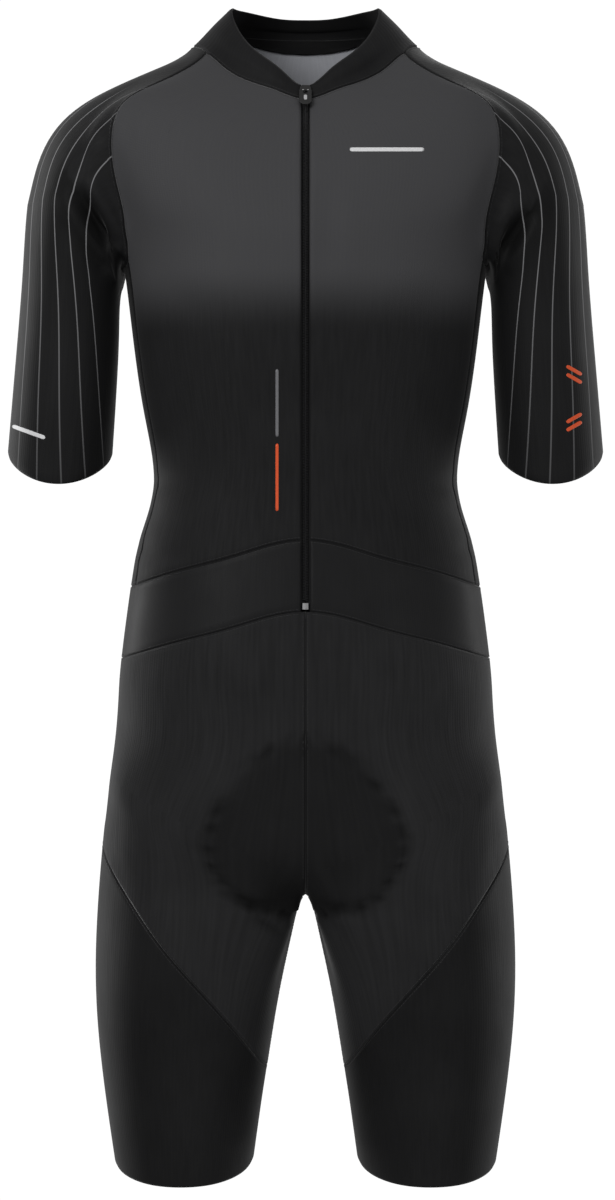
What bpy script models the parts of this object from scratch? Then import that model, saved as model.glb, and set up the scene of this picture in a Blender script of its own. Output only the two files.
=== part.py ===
"""Cycling skinsuit with short raglan sleeves and a front zip, in the form it has when worn.

The suit is a hollow skin of cut panels. One smooth skin passes through the tables below:
trunk, front and back yoke, collar, a tube for each sleeve and a tube for each leg. Each panel
is a region of that skin with a wall of its own, parted from its neighbours at the seams.
Frame: +X is the wearer's left, -Y the front, +Z up. The origin lies between the shoulders at
the height where they carry the suit. Sizes in the tables are millimetres.
"""

import math
from collections import namedtuple

import bmesh
import bpy
from mathutils import Matrix, Vector

MM = 0.001
CLOTH = 1.5  # wall of each cut panel
SEAM_GAP = 0.3  # between neighbouring panels
INSIDE_GAP = 0.35  # between a panel and what is sewn inside it
SQUARENESS = 2.35  # power of the trunk's sections, 2 is an ellipse
THIGH_SQUARENESS = 3.2  # the same where the trunk becomes two thighs
LEG_SQUARENESS = 2.15
SECTION_DIP = 1.15  # how late a trunk section leaves its height at the centre
YOKE_DIP = 1.6  # the same for the yoke's rows
FIT_ROUNDS = 10
MERGE = 0.01  # points nearer than this are one
CUT_TOLERANCE = 1e-7
LEAST_MITRE = 0.5  # a border's corner moves at most twice its edges' way
SMOOTH_ANGLE = 35  # degrees

# Zip, along the front centre line.
ZIP_SLOT = 3.5  # half the gap between the front edges
TEETH = 2.5  # half width of the closed teeth
TEETH_DEPTH = 0.2  # from the skin to the teeth's face
TEETH_THICK = 2.4
TAPE_INNER = 2.8  # from the centre line to the tape's edge
TAPE_OUTER = 13.0
TAPE_HEM = 1.0  # the tape ends this far below the collar's edge
ZIP_FOOT = -454.0
STOP_HEIGHT = 5.5
STOP_PROUD = 0.6

# Slider and pull tab, in the slider's frame: across, up the zip, out of the cloth.
SLIDER_TOP, SLIDER_FOOT = 5.6, -5.4
SLIDER_WIDE, SLIDER_NARROW = 4.7, 4.0
SLIDER_SHOULDER, SLIDER_CORNER = 3.0, 1.6
LAP = 0.3  # how far the slider's pieces reach into each other
EDGE, EDGE_ANGLE = 0.2, 40  # bevel on the metal, and the least corner that takes it
PLATE_LOW, PLATE_HIGH = 1.0, 2.2
REAR_LOW, REAR_HIGH = -5.0, -4.1
BRIDGE_HALF, BRIDGE_FOOT = 1.8, 2.2
LUG_HALF, LUG_POST, LUG_CAP = 1.2, 0.9, 0.8
PIN_UP = -1.5  # the pull tab's pin, up from the slider's middle
PIN_ROOM = 0.8  # from the pin's centre to the plate and to the lug's cap
POST_ROOM = 1.3
TAB_HALF, TAB_LONG, TAB_THICK = 5.2, 17.5, 1.0
TAB_SLOT_HALF, TAB_SLOT_LONG = 1.6, 3.9
TAB_TIP, TAB_CORNER = 3.2, 0.6

TRIM = 1.0  # thickness of the tapes
NECK_TAPE_HALF = 54.0
NECK_TAPE_FOOT = [(0, 32.5), (20, 33.4), (38, 36.2), (56, 40.6)]  # half of its lower edge
PAD = 5.0  # thickness of the seat pad

# Trunk sections, from the armpits to the row where the legs part.
Trunk = namedtuple("Trunk", "name z_front z_side z_back half_width front back")
TRUNK = [
    Trunk("armpit", -165, -165, -165, 154, 120, 112),
    Trunk("chest", -222, -228, -225, 148, 116, 104),
    Trunk("ribs", -278, -292, -283, 138.5, 108, 91.5),
    Trunk("waist", -326, -350, -337, 130.3, 102.5, 82.5),
    Trunk("above band", -364, -395, -378, 141, 100.5, 83.5),
    Trunk("band top", -402, -440, -418, 150, 102, 91),
    Trunk("band foot", -461, -501, -478, 158, 109, 105),
    Trunk("hip", -526, -534, -535, 160.5, 113, 118),
    Trunk("seat", -594, -567, -595, 163, 112, 124),
    Trunk("leg split", -680, -600, -668, 167, 101, 116),
]
BAND_TOP, BAND_FOOT = 5, 6

# Yoke rows above the armpit: the centre line, and the raglan seam that ends each row.
Yoke = namedtuple("Yoke", "z_centre y_centre seam_x seam_y seam_z")
UNDERARM_X = 156.0
ARMPIT_SEAM_X = 150.0
ARMPIT_SEAM_Y = 45.0
FRONT_YOKE = [
    Yoke(-139, -118.5, 152, -63, -129),
    Yoke(-113, -114, 161, -73, -87),
    Yoke(-87, -107.5, 155, -75, -41),
    Yoke(-61, -98.5, 118.5, -66, -17),
    Yoke(-36, -85, 84, -40, 11),
]
BACK_YOKE = [
    Yoke(-126, 112, 153, 66, -124),
    Yoke(-86, 107, 160, 79, -82),
    Yoke(-46, 97, 151, 84, -36),
    Yoke(-5, 85, 117, 68, -8),
    Yoke(43, 73, 85, 38, 22),
]
SHOULDER_NECK = (97, 0, 24)  # where the top of the sleeve meets the collar
# Places along the neckline of the yoke's inner columns: x, y, z.
FRONT_NECK = [(24, -81, -28), (46, -72, -19), (66, -58, -6)]
BACK_NECK = [(26, 70, 43.5), (49, 62, 43), (69, 51, 38)]

# Collar's top edge, from the front centre round to the back centre in even turns.
COLLAR_HALF_WIDTH = 63.5
COLLAR_HALF_DEPTH = 69.0
COLLAR_CENTRE_Y = -6.0
COLLAR_TOP_Z = [-23, -9, 6, 22, 41, 56, 60, 62, 62, 61, 61]
COLLAR_SWELL = 0.5

# The sleeve's first ring, beside the raglan seams: under the arm, up to the shoulder, in
# front and behind.
NEAR_SEAM_UNDER = (158, 0, -173)
NEAR_SEAM_TOP = (130, 0, 2)
NEAR_SEAM_FRONT = [
    (159, -45, -175), (166, -62, -137), (178, -69, -95),
    (177, -66, -53), (148, -50, -21), (119, -30, 3),
]
NEAR_SEAM_BACK = [
    (159, 46, -173), (166, 65, -134), (178, 74, -91),
    (176, 72, -49), (147, 54, -17), (119, 32, 6),
]
# Sleeve sections fan out from the armpit: the line over the shoulder, the line under the arm.
Sleeve = namedtuple("Sleeve", "top_x top_z under_x under_z half_depth lean tilt seam_share")
SLEEVE = [
    Sleeve(130, 4, 158, -173, 75, 0, 0, 1.0),
    Sleeve(178, -16, 159, -184, 71, 0, 0, 0.5),
    Sleeve(220, -49, 160, -198, 66, 1, 0, 0.2),
    Sleeve(238, -104, 160.5, -217, 60.5, 2, 2, 0.05),
    Sleeve(243.5, -170, 161.5, -244, 57, 5, 7, 0.0),
    Sleeve(250, -246, 164, -285, 54, 8, 14, 0.0),
    Sleeve(257, -323, 167, -328, 51.5, 11, 20, 0.0),
]
CUFF_DIP = 8.0

# Leg sections, and the rings that cross them.
Leg = namedtuple("Leg", "z outer inner front back")
LEG = [
    Leg(-600, 167, 0, 104, 122),
    Leg(-660, 174, 0, 100, 116),
    Leg(-701, 177, 2, 97, 108),
    Leg(-720, 178.5, 8.5, 96, 104),
    Leg(-752, 180, 16.5, 94, 98),
    Leg(-790, 179, 23.5, 92, 91),
    Leg(-821, 178, 28, 89, 86),
    Leg(-856, 174, 34, 85, 80),
    Leg(-890, 169, 39, 81, 75),
    Leg(-940, 162, 46, 77, 70),
]
Ring = namedtuple("Ring", "z_outer z_inner tilt trunk_share")
LEG_RINGS = [
    Ring(-600, -701, 0, 1.0),
    Ring(-618, -738, 0, 0.55),
    Ring(-638, -792, 0, 0.22),
    Ring(-660, -850, 0, 0.05),
    Ring(-750, -877, 1, 0.0),
    Ring(-840, -903, 5, 0.0),
    Ring(-929, -929, 11, 0.0),
]
LEG_SEAM = 3
RING_BIAS = 0.9
# The centre line where the legs part, y and z: its front, the saddle from back to front, its back.
SPLIT_FRONT, SPLIT_BACK = (-89, -680), (105, -668)
CROTCH = [(52, -696), (0, -702), (-48, -698)]

# Outline of the seat pad, the same in front and behind: half width at each height.
PAD_OUTLINE = [
    (0, -569), (24, -572), (45, -585), (62, -607), (76, -629),
    (82, -651), (79, -670), (68, -687), (53, -702), (0, -716),
]

COLUMNS = 10
SIDE = 5
SIDE_FRONT, SIDE_BACK = 4, 6
YOKE_ROWS = len(FRONT_YOKE)
AROUND = 14

PANELS = (
    "front side back waist_front waist_back shorts_front shorts_back leg sleeve collar"
).split()
PANEL = {name: index for index, name in enumerate(PANELS)}


def clear_scene():
    for item in list(bpy.data.objects):
        bpy.data.objects.remove(item, do_unlink=True)


def trunk_point(row, column):
    """A point of a trunk section, from the front centre round the wearer's left to the back."""
    if row is TRUNK[-1] and column in (0, COLUMNS):
        return Vector((0, *(SPLIT_BACK if column else SPLIT_FRONT)))
    turn = math.radians(180 * column / COLUMNS)
    power = 2 / (THIGH_SQUARENESS if row is TRUNK[-1] else SQUARENESS)
    across = math.sin(turn) ** power
    along = abs(math.cos(turn)) ** power
    ahead = column < SIDE
    y = -row.front * along if ahead else row.back * along
    z_centre = row.z_front if ahead else row.z_back
    z = z_centre + (row.z_side - z_centre) * across**SECTION_DIP
    return Vector((row.half_width * across, y, z))


def armpit_point(column):
    """The top row of the trunk, drawn towards the raglan seams beside the side panel."""
    point = trunk_point(TRUNK[0], column)
    if column in (SIDE_FRONT, SIDE_BACK):
        point.x = ARMPIT_SEAM_X
        point.y = math.copysign(ARMPIT_SEAM_Y, point.y)
    if column == SIDE:
        point.x = UNDERARM_X
    return point


def neck_point(column):
    """The neckline, with the sleeve's strip between the two yokes at the side column."""
    if column == SIDE:
        return Vector(SHOULDER_NECK)
    ahead = column < SIDE
    yoke = FRONT_YOKE[-1] if ahead else BACK_YOKE[-1]
    step = column if ahead else COLUMNS - column
    if step == 0:
        return Vector((0, yoke.y_centre, yoke.z_centre))
    if step == SIDE_FRONT:
        return Vector((yoke.seam_x, yoke.seam_y, yoke.seam_z))
    return Vector((FRONT_NECK if ahead else BACK_NECK)[step - 1])


def yoke_point(rows, row, step):
    """A point of a yoke: step 0 is the centre line, step 4 the raglan seam."""
    column = step if rows is FRONT_YOKE else COLUMNS - step
    if row == 0:
        return armpit_point(column)
    if row == YOKE_ROWS:
        return neck_point(column)
    yoke = rows[row - 1]
    turn = math.radians(180 * step / COLUMNS)
    edge = math.radians(180 * SIDE_FRONT / COLUMNS)
    across = (math.sin(turn) / math.sin(edge)) ** (2 / SQUARENESS)
    low = math.cos(edge) ** (2 / SQUARENESS)
    along = (math.cos(turn) ** (2 / SQUARENESS) - low) / (1 - low)
    return Vector((
        yoke.seam_x * across,
        yoke.seam_y + (yoke.y_centre - yoke.seam_y) * along,
        yoke.z_centre + (yoke.seam_z - yoke.z_centre) * across**YOKE_DIP,
    ))


def armhole_point(place):
    """The armhole loop: under the arm, up the front seam, over the shoulder, down the back."""
    if place == 0:
        return armpit_point(SIDE)
    if place <= YOKE_ROWS + 1:
        return yoke_point(FRONT_YOKE, place - 1, SIDE_FRONT)
    if place == YOKE_ROWS + 2:
        return neck_point(SIDE)
    return yoke_point(BACK_YOKE, AROUND - 1 - place, SIDE_FRONT)


def sleeve_section(ring, place):
    turn = 2 * math.pi * place / AROUND
    top = Vector((ring.top_x, 0, ring.top_z))
    under = Vector((ring.under_x, 0, ring.under_z))
    middle = (top + under) / 2
    ahead = math.sin(turn)
    point = middle + (under - middle) * math.cos(turn)
    point.y = ring.lean - ring.half_depth * ahead
    point.z -= ring.tilt * ahead + (CUFF_DIP * ring.tilt / SLEEVE[-1].tilt * ahead**2)
    return point


def near_seam_point(place):
    if place == 0:
        return Vector(NEAR_SEAM_UNDER)
    if place <= YOKE_ROWS + 1:
        return Vector(NEAR_SEAM_FRONT[place - 1])
    if place == YOKE_ROWS + 2:
        return Vector(NEAR_SEAM_TOP)
    return Vector(NEAR_SEAM_BACK[AROUND - 1 - place])


def sleeve_point(place, ring):
    """Ring 0 is the armhole, ring 1 runs beside it, and the others round off to the cuff."""
    place %= AROUND
    if ring == 0:
        return armhole_point(place)
    size = SLEEVE[ring - 1]
    drift = near_seam_point(place) - sleeve_section(SLEEVE[0], place)
    return sleeve_section(size, place) + drift * size.seam_share


def leg_size(z):
    """The leg's section at a height, between the table's rows."""
    for above, below in zip(LEG, LEG[1:]):
        if z >= below.z:
            share = (z - above.z) / (below.z - above.z)
            return Leg(*(a + (b - a) * share for a, b in zip(above, below)))
    return LEG[-1]


def leg_section(ring, place):
    turn = 2 * math.pi * (place - SIDE) / AROUND
    inward = ((1 - math.cos(turn)) / 2) ** RING_BIAS
    z = ring.z_outer + (ring.z_inner - ring.z_outer) * inward
    size = leg_size(z)
    half = (size.outer - size.inner) / 2
    reach = abs(math.cos(turn)) ** (2 / LEG_SQUARENESS)
    swing = abs(math.sin(turn)) ** (2 / LEG_SQUARENESS)
    x = size.outer - half + math.copysign(half * reach, math.cos(turn))
    y = size.back * swing if math.sin(turn) > 0 else -size.front * swing
    return Vector((x, y, z + ring.tilt * math.sin(turn)))


def leg_top(place):
    if place <= COLUMNS:
        return trunk_point(TRUNK[-1], place)
    return Vector((0, *CROTCH[place - COLUMNS - 1]))


def leg_point(place, ring):
    place %= AROUND
    drift = leg_top(place) - leg_section(LEG_RINGS[0], place)
    return leg_section(LEG_RINGS[ring], place) + drift * LEG_RINGS[ring].trunk_share


def collar_point(column, row):
    base = neck_point(column)
    turn = math.radians(180 * column / COLUMNS)
    outward = Vector((math.sin(turn), -math.cos(turn), 0))
    top = Vector((
        COLLAR_HALF_WIDTH * math.sin(turn),
        COLLAR_CENTRE_Y - COLLAR_HALF_DEPTH * math.cos(turn),
        COLLAR_TOP_Z[column],
    ))
    return base.lerp(top, row / 2) + outward * (COLLAR_SWELL if row == 1 else 0)


def patch(bm, columns, rows, place, panel_of):
    """A grid laid on the points that place(column, row) gives, its faces marked by panel."""
    made = bmesh.ops.create_grid(bm, x_segments=columns, y_segments=rows, size=0.5)["verts"]
    spot = {v: (round((v.co.x + 0.5) * columns), round((v.co.y + 0.5) * rows)) for v in made}
    for face in {face for vert in made for face in vert.link_faces}:
        column = min(spot[v][0] for v in face.verts)
        row = min(spot[v][1] for v in face.verts)
        face.material_index = PANEL[panel_of(column, row)]
    for vert, (column, row) in spot.items():
        vert.co = place(column, row) * MM


def trunk_panel(column, row):
    ahead = column < SIDE
    if row < BAND_TOP:
        if SIDE_FRONT <= column < SIDE_BACK:
            return "side"
        return "front" if ahead else "back"
    if row < BAND_FOOT:
        return "waist_front" if ahead else "waist_back"
    return "shorts_front" if ahead else "shorts_back"


def leg_panel(place, ring):
    if ring >= LEG_SEAM:
        return "leg"
    return "shorts_back" if SIDE <= place < COLUMNS + 2 else "shorts_front"


def build_cage():
    """The coarse net of points that the tables give, for both halves."""
    bm = bmesh.new()
    last = len(TRUNK) - 1
    patch(
        bm, COLUMNS, last,
        lambda c, r: armpit_point(c) if r == 0 else trunk_point(TRUNK[r], c),
        trunk_panel,
    )
    for rows, name in ((FRONT_YOKE, "front"), (BACK_YOKE, "back")):
        patch(
            bm, SIDE_FRONT, YOKE_ROWS,
            lambda c, r, rows=rows: yoke_point(rows, r, c),
            lambda c, r, name=name: name,
        )
    patch(bm, AROUND, len(SLEEVE), sleeve_point, lambda c, r: "sleeve")
    patch(bm, AROUND, len(LEG_RINGS) - 1, leg_point, leg_panel)
    patch(bm, COLUMNS, 2, collar_point, lambda c, r: "collar")
    bmesh.ops.remove_doubles(bm, verts=bm.verts[:], dist=MERGE * MM)
    bmesh.ops.mirror(
        bm, geom=bm.verts[:] + bm.edges[:] + bm.faces[:], matrix=Matrix.Identity(4),
        merge_dist=MERGE * MM, axis="X",
    )
    bmesh.ops.recalc_face_normals(bm, faces=bm.faces[:])
    mesh = bpy.data.meshes.new("skin_cage")
    bm.to_mesh(mesh)
    bm.free()
    cage = bpy.data.objects.new("skin_cage", mesh)
    bpy.context.scene.collection.objects.link(cage)
    smooth = cage.modifiers.new("smooth", "SUBSURF")
    smooth.levels = smooth.render_levels = 1
    return cage


def smooth_skin():
    """Draws the cage out until its smooth surface passes through the tables' points."""
    cage = build_cage()
    wanted = [vert.co.copy() for vert in cage.data.vertices]
    for _ in range(FIT_ROUNDS):
        limit = cage.evaluated_get(bpy.context.evaluated_depsgraph_get()).data
        shift = [goal - limit.vertices[i].co for i, goal in enumerate(wanted)]
        for vert, move in zip(cage.data.vertices, shift):
            vert.co += move
        cage.data.update()
    skin = bmesh.new()
    skin.from_mesh(cage.evaluated_get(bpy.context.evaluated_depsgraph_get()).data)
    bpy.data.objects.remove(cage, do_unlink=True)
    skin.normal_update()
    out = skin.verts.layers.float_vector.new("out")
    for vert in skin.verts:
        vert[out] = vert.normal
    bmesh.ops.triangulate(skin, faces=skin.faces[:], quad_method="FIXED")
    return skin


def draw_in(bm):
    """Moves a panel's border half a seam gap into the panel."""
    bm.normal_update()
    moves = {}
    for edge in bm.edges:
        if len(edge.link_faces) != 1:
            continue
        face = edge.link_faces[0]
        a, b = edge.verts
        inward = face.normal.cross(b.co - a.co).normalized()
        if inward.dot(face.calc_center_median() - a.co) < 0:
            inward.negate()
        for vert in edge.verts:
            moves.setdefault(vert, []).append(inward)
    for vert, ways in moves.items():
        whole = sum(ways, Vector())
        share = max(whole.length_squared / len(ways), LEAST_MITRE)
        vert.co += whole / share * SEAM_GAP / 2 * MM


def split(bm, faces, point, normal):
    """Cuts faces along a plane, and keeps both sides."""
    edges = {edge for face in faces for edge in face.edges}
    verts = {vert for face in faces for vert in face.verts}
    bmesh.ops.bisect_plane(
        bm, geom=[*verts, *edges, *faces], dist=CUT_TOLERANCE,
        plane_co=Vector(point) * MM, plane_no=Vector(normal),
    )


def cut_off(bm, point, normal, side=0):
    """Cuts away what lies beyond a plane, on one half of the skin or on both."""
    def half(face):
        return side == 0 or face.calc_center_median().x * side > 0

    split(bm, [face for face in bm.faces if half(face)], point, normal)
    start = Vector(point) * MM
    beyond = [
        face for face in bm.faces
        if half(face) and (face.calc_center_median() - start).dot(Vector(normal)) > 0
    ]
    bmesh.ops.delete(bm, geom=beyond, context="FACES")


def open_zip_slot(bm):
    """Takes out the strip of cloth over the zip, at the front centre."""
    for edge in (ZIP_SLOT, -ZIP_SLOT):
        ahead = [face for face in bm.faces if face.calc_center_median().y < 0]
        split(bm, ahead, (edge, 0, 0), (1, 0, 0))
    middle = [
        face for face in bm.faces
        if abs(face.calc_center_median().x) < ZIP_SLOT * MM and face.calc_center_median().y < 0
    ]
    bmesh.ops.delete(bm, geom=middle, context="FACES")


def wall(skin, name, keep, colour, cuts=(), slot=False, depth=0.0, thickness=CLOTH, **finish):
    """A closed wall on a region of the skin, from depth inwards."""
    bm = skin.copy()
    bmesh.ops.delete(bm, geom=[f for f in bm.faces if not keep(f)], context="FACES")
    for cut in cuts:
        cut_off(bm, *cut)
    if slot:
        open_zip_slot(bm)
    draw_in(bm)
    out = bm.verts.layers.float_vector["out"]
    for vert in bm.verts:
        vert[out] = Vector(vert[out]).normalized()
        vert.co -= vert[out] * depth * MM
    back = bmesh.ops.extrude_face_region(bm, geom=bm.faces[:], use_keep_orig=True)["geom"]
    for vert in back:
        if isinstance(vert, bmesh.types.BMVert):
            vert.co -= vert[out] * thickness * MM
    bmesh.ops.recalc_face_normals(bm, faces=bm.faces[:])
    mesh = bpy.data.meshes.new(name)
    bm.to_mesh(mesh)
    bm.free()
    return add_object(name, mesh, colour, **finish)


def add_object(name, mesh, colour, roughness=0.7, metallic=0.0):
    for face in mesh.polygons:
        face.material_index = 0
    mesh.shade_smooth()
    mesh.set_sharp_from_angle(angle=math.radians(SMOOTH_ANGLE))
    item = bpy.data.objects.new(name, mesh)
    bpy.context.scene.collection.objects.link(item)
    finish = bpy.data.materials.new(name)
    finish.use_nodes = True
    shader = finish.node_tree.nodes["Principled BSDF"]
    shader.inputs["Base Color"].default_value = (*colour, 1)
    shader.inputs["Roughness"].default_value = roughness
    shader.inputs["Metallic"].default_value = metallic
    mesh.materials.clear()
    mesh.materials.append(finish)
    return item


def of_panel(*names, side=0):
    """Picks the faces of a panel, on the wearer's left (1), right (-1) or both."""
    wanted = {PANEL[name] for name in names}
    return lambda face: (
        face.material_index in wanted
        and (side == 0 or face.calc_center_median().x * side > 0)
    )


CHEST = (0.045, 0.045, 0.048)
CHARCOAL = (0.022, 0.022, 0.024)
BLACK = (0.012, 0.012, 0.013)
STEEL = (0.35, 0.35, 0.36)


def make_panels(skin):
    for side, word in ((1, "left"), (-1, "right")):
        wall(skin, f"front_{word}", of_panel("front", side=side), CHEST, slot=True)
        wall(skin, f"side_{word}", of_panel("side", side=side), CHARCOAL)
        wall(skin, f"waist_front_{word}", of_panel("waist_front", side=side), BLACK, slot=True)
        wall(skin, f"shorts_front_{word}", of_panel("shorts_front", side=side), CHARCOAL)
        wall(skin, f"shorts_back_{word}", of_panel("shorts_back", side=side), CHARCOAL)
        wall(skin, f"leg_{word}", of_panel("leg", side=side), BLACK)
        wall(skin, f"sleeve_{word}", of_panel("sleeve", side=side), CHARCOAL)
    wall(skin, "back_panel", of_panel("back"), CHEST)
    wall(skin, "waist_back", of_panel("waist_back"), BLACK)
    wall(skin, "collar", of_panel("collar"), BLACK, slot=True)


def make_neck_tape(skin):
    """The tape that covers the collar's seam inside the back neck."""
    cuts = []
    for side in (1, -1):
        cuts.append(((side * NECK_TAPE_HALF, 0, 0), (side, 0, 0)))
        for (x, z), (next_x, next_z) in zip(NECK_TAPE_FOOT, NECK_TAPE_FOOT[1:]):
            cuts.append(((side * x, 0, z), (side * (next_z - z), 0, x - next_x), side))
    wall(
        skin, "neck_tape", of_panel("back"), BLACK, cuts,
        depth=CLOTH + INSIDE_GAP, thickness=TRIM,
    )


def make_seat_pad(skin):
    """The pad inside the shorts, from the front through the crotch to the seat."""
    cuts = []
    for side in (1, -1):
        for (x, z), (next_x, next_z) in zip(PAD_OUTLINE, PAD_OUTLINE[1:]):
            normal = (side * (z - next_z), 0, next_x - x)
            cuts.append(((side * x, 0, z), normal, side))
    wall(
        skin, "seat_pad", of_panel("shorts_front", "shorts_back"), CHARCOAL, cuts,
        depth=CLOTH + INSIDE_GAP, thickness=PAD,
    )


def front_centre(face):
    names = [PANEL[name] for name in ("front", "waist_front", "collar")]
    return face.material_index in names and face.calc_center_median().y < 0


def slider_frame():
    """Where the slider sits: the middle of the collar's front, its axis up the zip."""
    up = (collar_point(0, 2) - collar_point(0, 0)).normalized()
    across = Vector((1, 0, 0))
    turn = Matrix((across, up, across.cross(up))).transposed().to_4x4()
    return Matrix.Translation(collar_point(0, 1) * MM) @ turn


def make_zip(skin):
    frame = slider_frame()
    up = frame.col[1].to_3d()
    seat = frame.translation / MM
    top = collar_point(0, 2) - up * TAPE_HEM
    foot = ((0, 0, ZIP_FOOT), (0, 0, -1))
    for side, word in ((1, "left"), (-1, "right")):
        edges = [
            ((side * TAPE_INNER, 0, 0), (-side, 0, 0)),
            ((side * TAPE_OUTER, 0, 0), (side, 0, 0)),
            ((0, 0, ZIP_FOOT - STOP_HEIGHT), (0, 0, -1)),
            (top, up),
        ]
        wall(
            skin, f"zip_tape_{word}", front_centre, BLACK, edges,
            depth=CLOTH + INSIDE_GAP, thickness=TRIM,
        )
    sides = [((TEETH, 0, 0), (1, 0, 0)), ((-TEETH, 0, 0), (-1, 0, 0))]
    mouth = (seat + up * (BRIDGE_FOOT - 2 * SEAM_GAP), up)
    wall(
        skin, "zip_teeth", front_centre, BLACK, [*sides, foot, mouth],
        depth=TEETH_DEPTH, thickness=TEETH_THICK, roughness=0.4,
    )
    stop = [((0, 0, ZIP_FOOT), (0, 0, 1)), ((0, 0, ZIP_FOOT - STOP_HEIGHT), (0, 0, -1))]
    wall(
        skin, "zip_bottom_stop", front_centre, STEEL, [*sides, *stop],
        depth=TEETH_DEPTH - STOP_PROUD, thickness=TEETH_THICK + STOP_PROUD,
        roughness=0.35, metallic=1.0,
    )
    make_slider(frame)


def prism(name, outline, low, high, across=False):
    """A plate from its outline: x and up, or up and out where it is extruded across."""
    bm = bmesh.new()
    if across:
        verts = [bm.verts.new((low, *spot)) for spot in outline]
        rise = Vector((high - low, 0, 0))
    else:
        verts = [bm.verts.new((*spot, low)) for spot in outline]
        rise = Vector((0, 0, high - low))
    face = bm.faces.new(verts)
    top = bmesh.ops.extrude_face_region(bm, geom=[face], use_keep_orig=True)["geom"]
    moved = [item for item in top if isinstance(item, bmesh.types.BMVert)]
    bmesh.ops.translate(bm, verts=moved, vec=rise)
    bmesh.ops.recalc_face_normals(bm, faces=bm.faces[:])
    bmesh.ops.scale(bm, vec=(MM, MM, MM), verts=bm.verts[:])
    mesh = bpy.data.meshes.new(name)
    bm.to_mesh(mesh)
    bm.free()
    return mesh


def helper(name, mesh, home):
    """A shape that only joins or cuts another."""
    item = bpy.data.objects.new(name, mesh)
    bpy.context.scene.collection.objects.link(item)
    item.matrix_world = home
    item.hide_render = True
    item.display_type = "WIRE"
    return item


def combine(item, other, operation):
    step = item.modifiers.new(other.name, "BOOLEAN")
    step.operation = operation
    step.object = other


def soften(item, width):
    edge = item.modifiers.new("edges", "BEVEL")
    edge.width = width * MM
    edge.segments = 1
    edge.angle_limit = math.radians(EDGE_ANGLE)


def box_outline(left, right, low, high):
    return [(left, low), (right, low), (right, high), (left, high)]


def make_slider(frame):
    outline = [
        (-SLIDER_NARROW, SLIDER_FOOT), (SLIDER_NARROW, SLIDER_FOOT),
        (SLIDER_WIDE, SLIDER_TOP - SLIDER_SHOULDER), (SLIDER_WIDE - SLIDER_CORNER, SLIDER_TOP),
        (SLIDER_CORNER - SLIDER_WIDE, SLIDER_TOP), (-SLIDER_WIDE, SLIDER_TOP - SLIDER_SHOULDER),
    ]
    slider = add_object(
        "zip_slider", prism("zip_slider", outline, PLATE_LOW, PLATE_HIGH), BLACK,
        roughness=0.35, metallic=0.6,
    )
    slider.matrix_world = frame
    rear = helper("slider_rear_plate", prism("rear", outline, REAR_LOW, REAR_HIGH), frame)
    bridge_outline = box_outline(-BRIDGE_HALF, BRIDGE_HALF, BRIDGE_FOOT, SLIDER_TOP - LAP)
    bridge = helper(
        "slider_bridge", prism("bridge", bridge_outline, REAR_LOW + LAP, PLATE_HIGH - LAP), frame
    )
    inner, outer = POST_ROOM, POST_ROOM + LUG_POST
    low, under = PLATE_HIGH - LAP, PLATE_HIGH + 2 * PIN_ROOM
    cap = under + LUG_CAP
    arch = [
        (PIN_UP - outer, low), (PIN_UP - inner, low), (PIN_UP - inner, under),
        (PIN_UP + inner, under), (PIN_UP + inner, low), (PIN_UP + outer, low),
        (PIN_UP + outer, cap), (PIN_UP - outer, cap),
    ]
    lug = helper("slider_lug", prism("lug", arch, -LUG_HALF, LUG_HALF, across=True), frame)
    for other in (rear, bridge, lug):
        combine(slider, other, "UNION")
    soften(slider, EDGE)

    pin = frame @ Matrix.Translation(Vector((0, PIN_UP, PLATE_HIGH + PIN_ROOM)) * MM)
    half = TAB_THICK / 2
    tab_outline = [
        (TAB_CORNER - TAB_HALF, half), (-TAB_HALF, half - TAB_CORNER),
        (-TAB_HALF, TAB_TIP - TAB_LONG),
        (-TAB_HALF + TAB_TIP, -TAB_LONG), (TAB_HALF - TAB_TIP, -TAB_LONG),
        (TAB_HALF, TAB_TIP - TAB_LONG), (TAB_HALF, half - TAB_CORNER), (TAB_HALF - TAB_CORNER, half),
    ]
    tab = add_object(
        "zip_pull_tab", prism("zip_pull_tab", tab_outline, -half, half), BLACK,
        roughness=0.4, metallic=0.5,
    )
    tab.matrix_world = pin
    window = box_outline(-TAB_SLOT_HALF, TAB_SLOT_HALF, -TAB_SLOT_LONG, -half)
    slot = helper("pull_tab_slot", prism("slot", window, -2 * half, 2 * half), pin)
    combine(tab, slot, "DIFFERENCE")
    soften(tab, EDGE)


def main():
    clear_scene()
    skin = smooth_skin()
    make_panels(skin)
    make_neck_tape(skin)
    make_seat_pad(skin)
    make_zip(skin)
    skin.free()


main()
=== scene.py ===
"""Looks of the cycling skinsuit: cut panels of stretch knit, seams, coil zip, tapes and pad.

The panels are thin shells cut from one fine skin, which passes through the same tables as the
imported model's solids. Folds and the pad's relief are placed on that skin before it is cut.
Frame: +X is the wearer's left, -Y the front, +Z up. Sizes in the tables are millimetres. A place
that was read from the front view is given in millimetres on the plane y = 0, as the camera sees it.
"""

import math
from collections import namedtuple

import bmesh
import bpy
import numpy as np
from mathutils import Matrix, Vector
from mathutils.bvhtree import BVHTree
from mathutils.kdtree import KDTree


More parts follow.
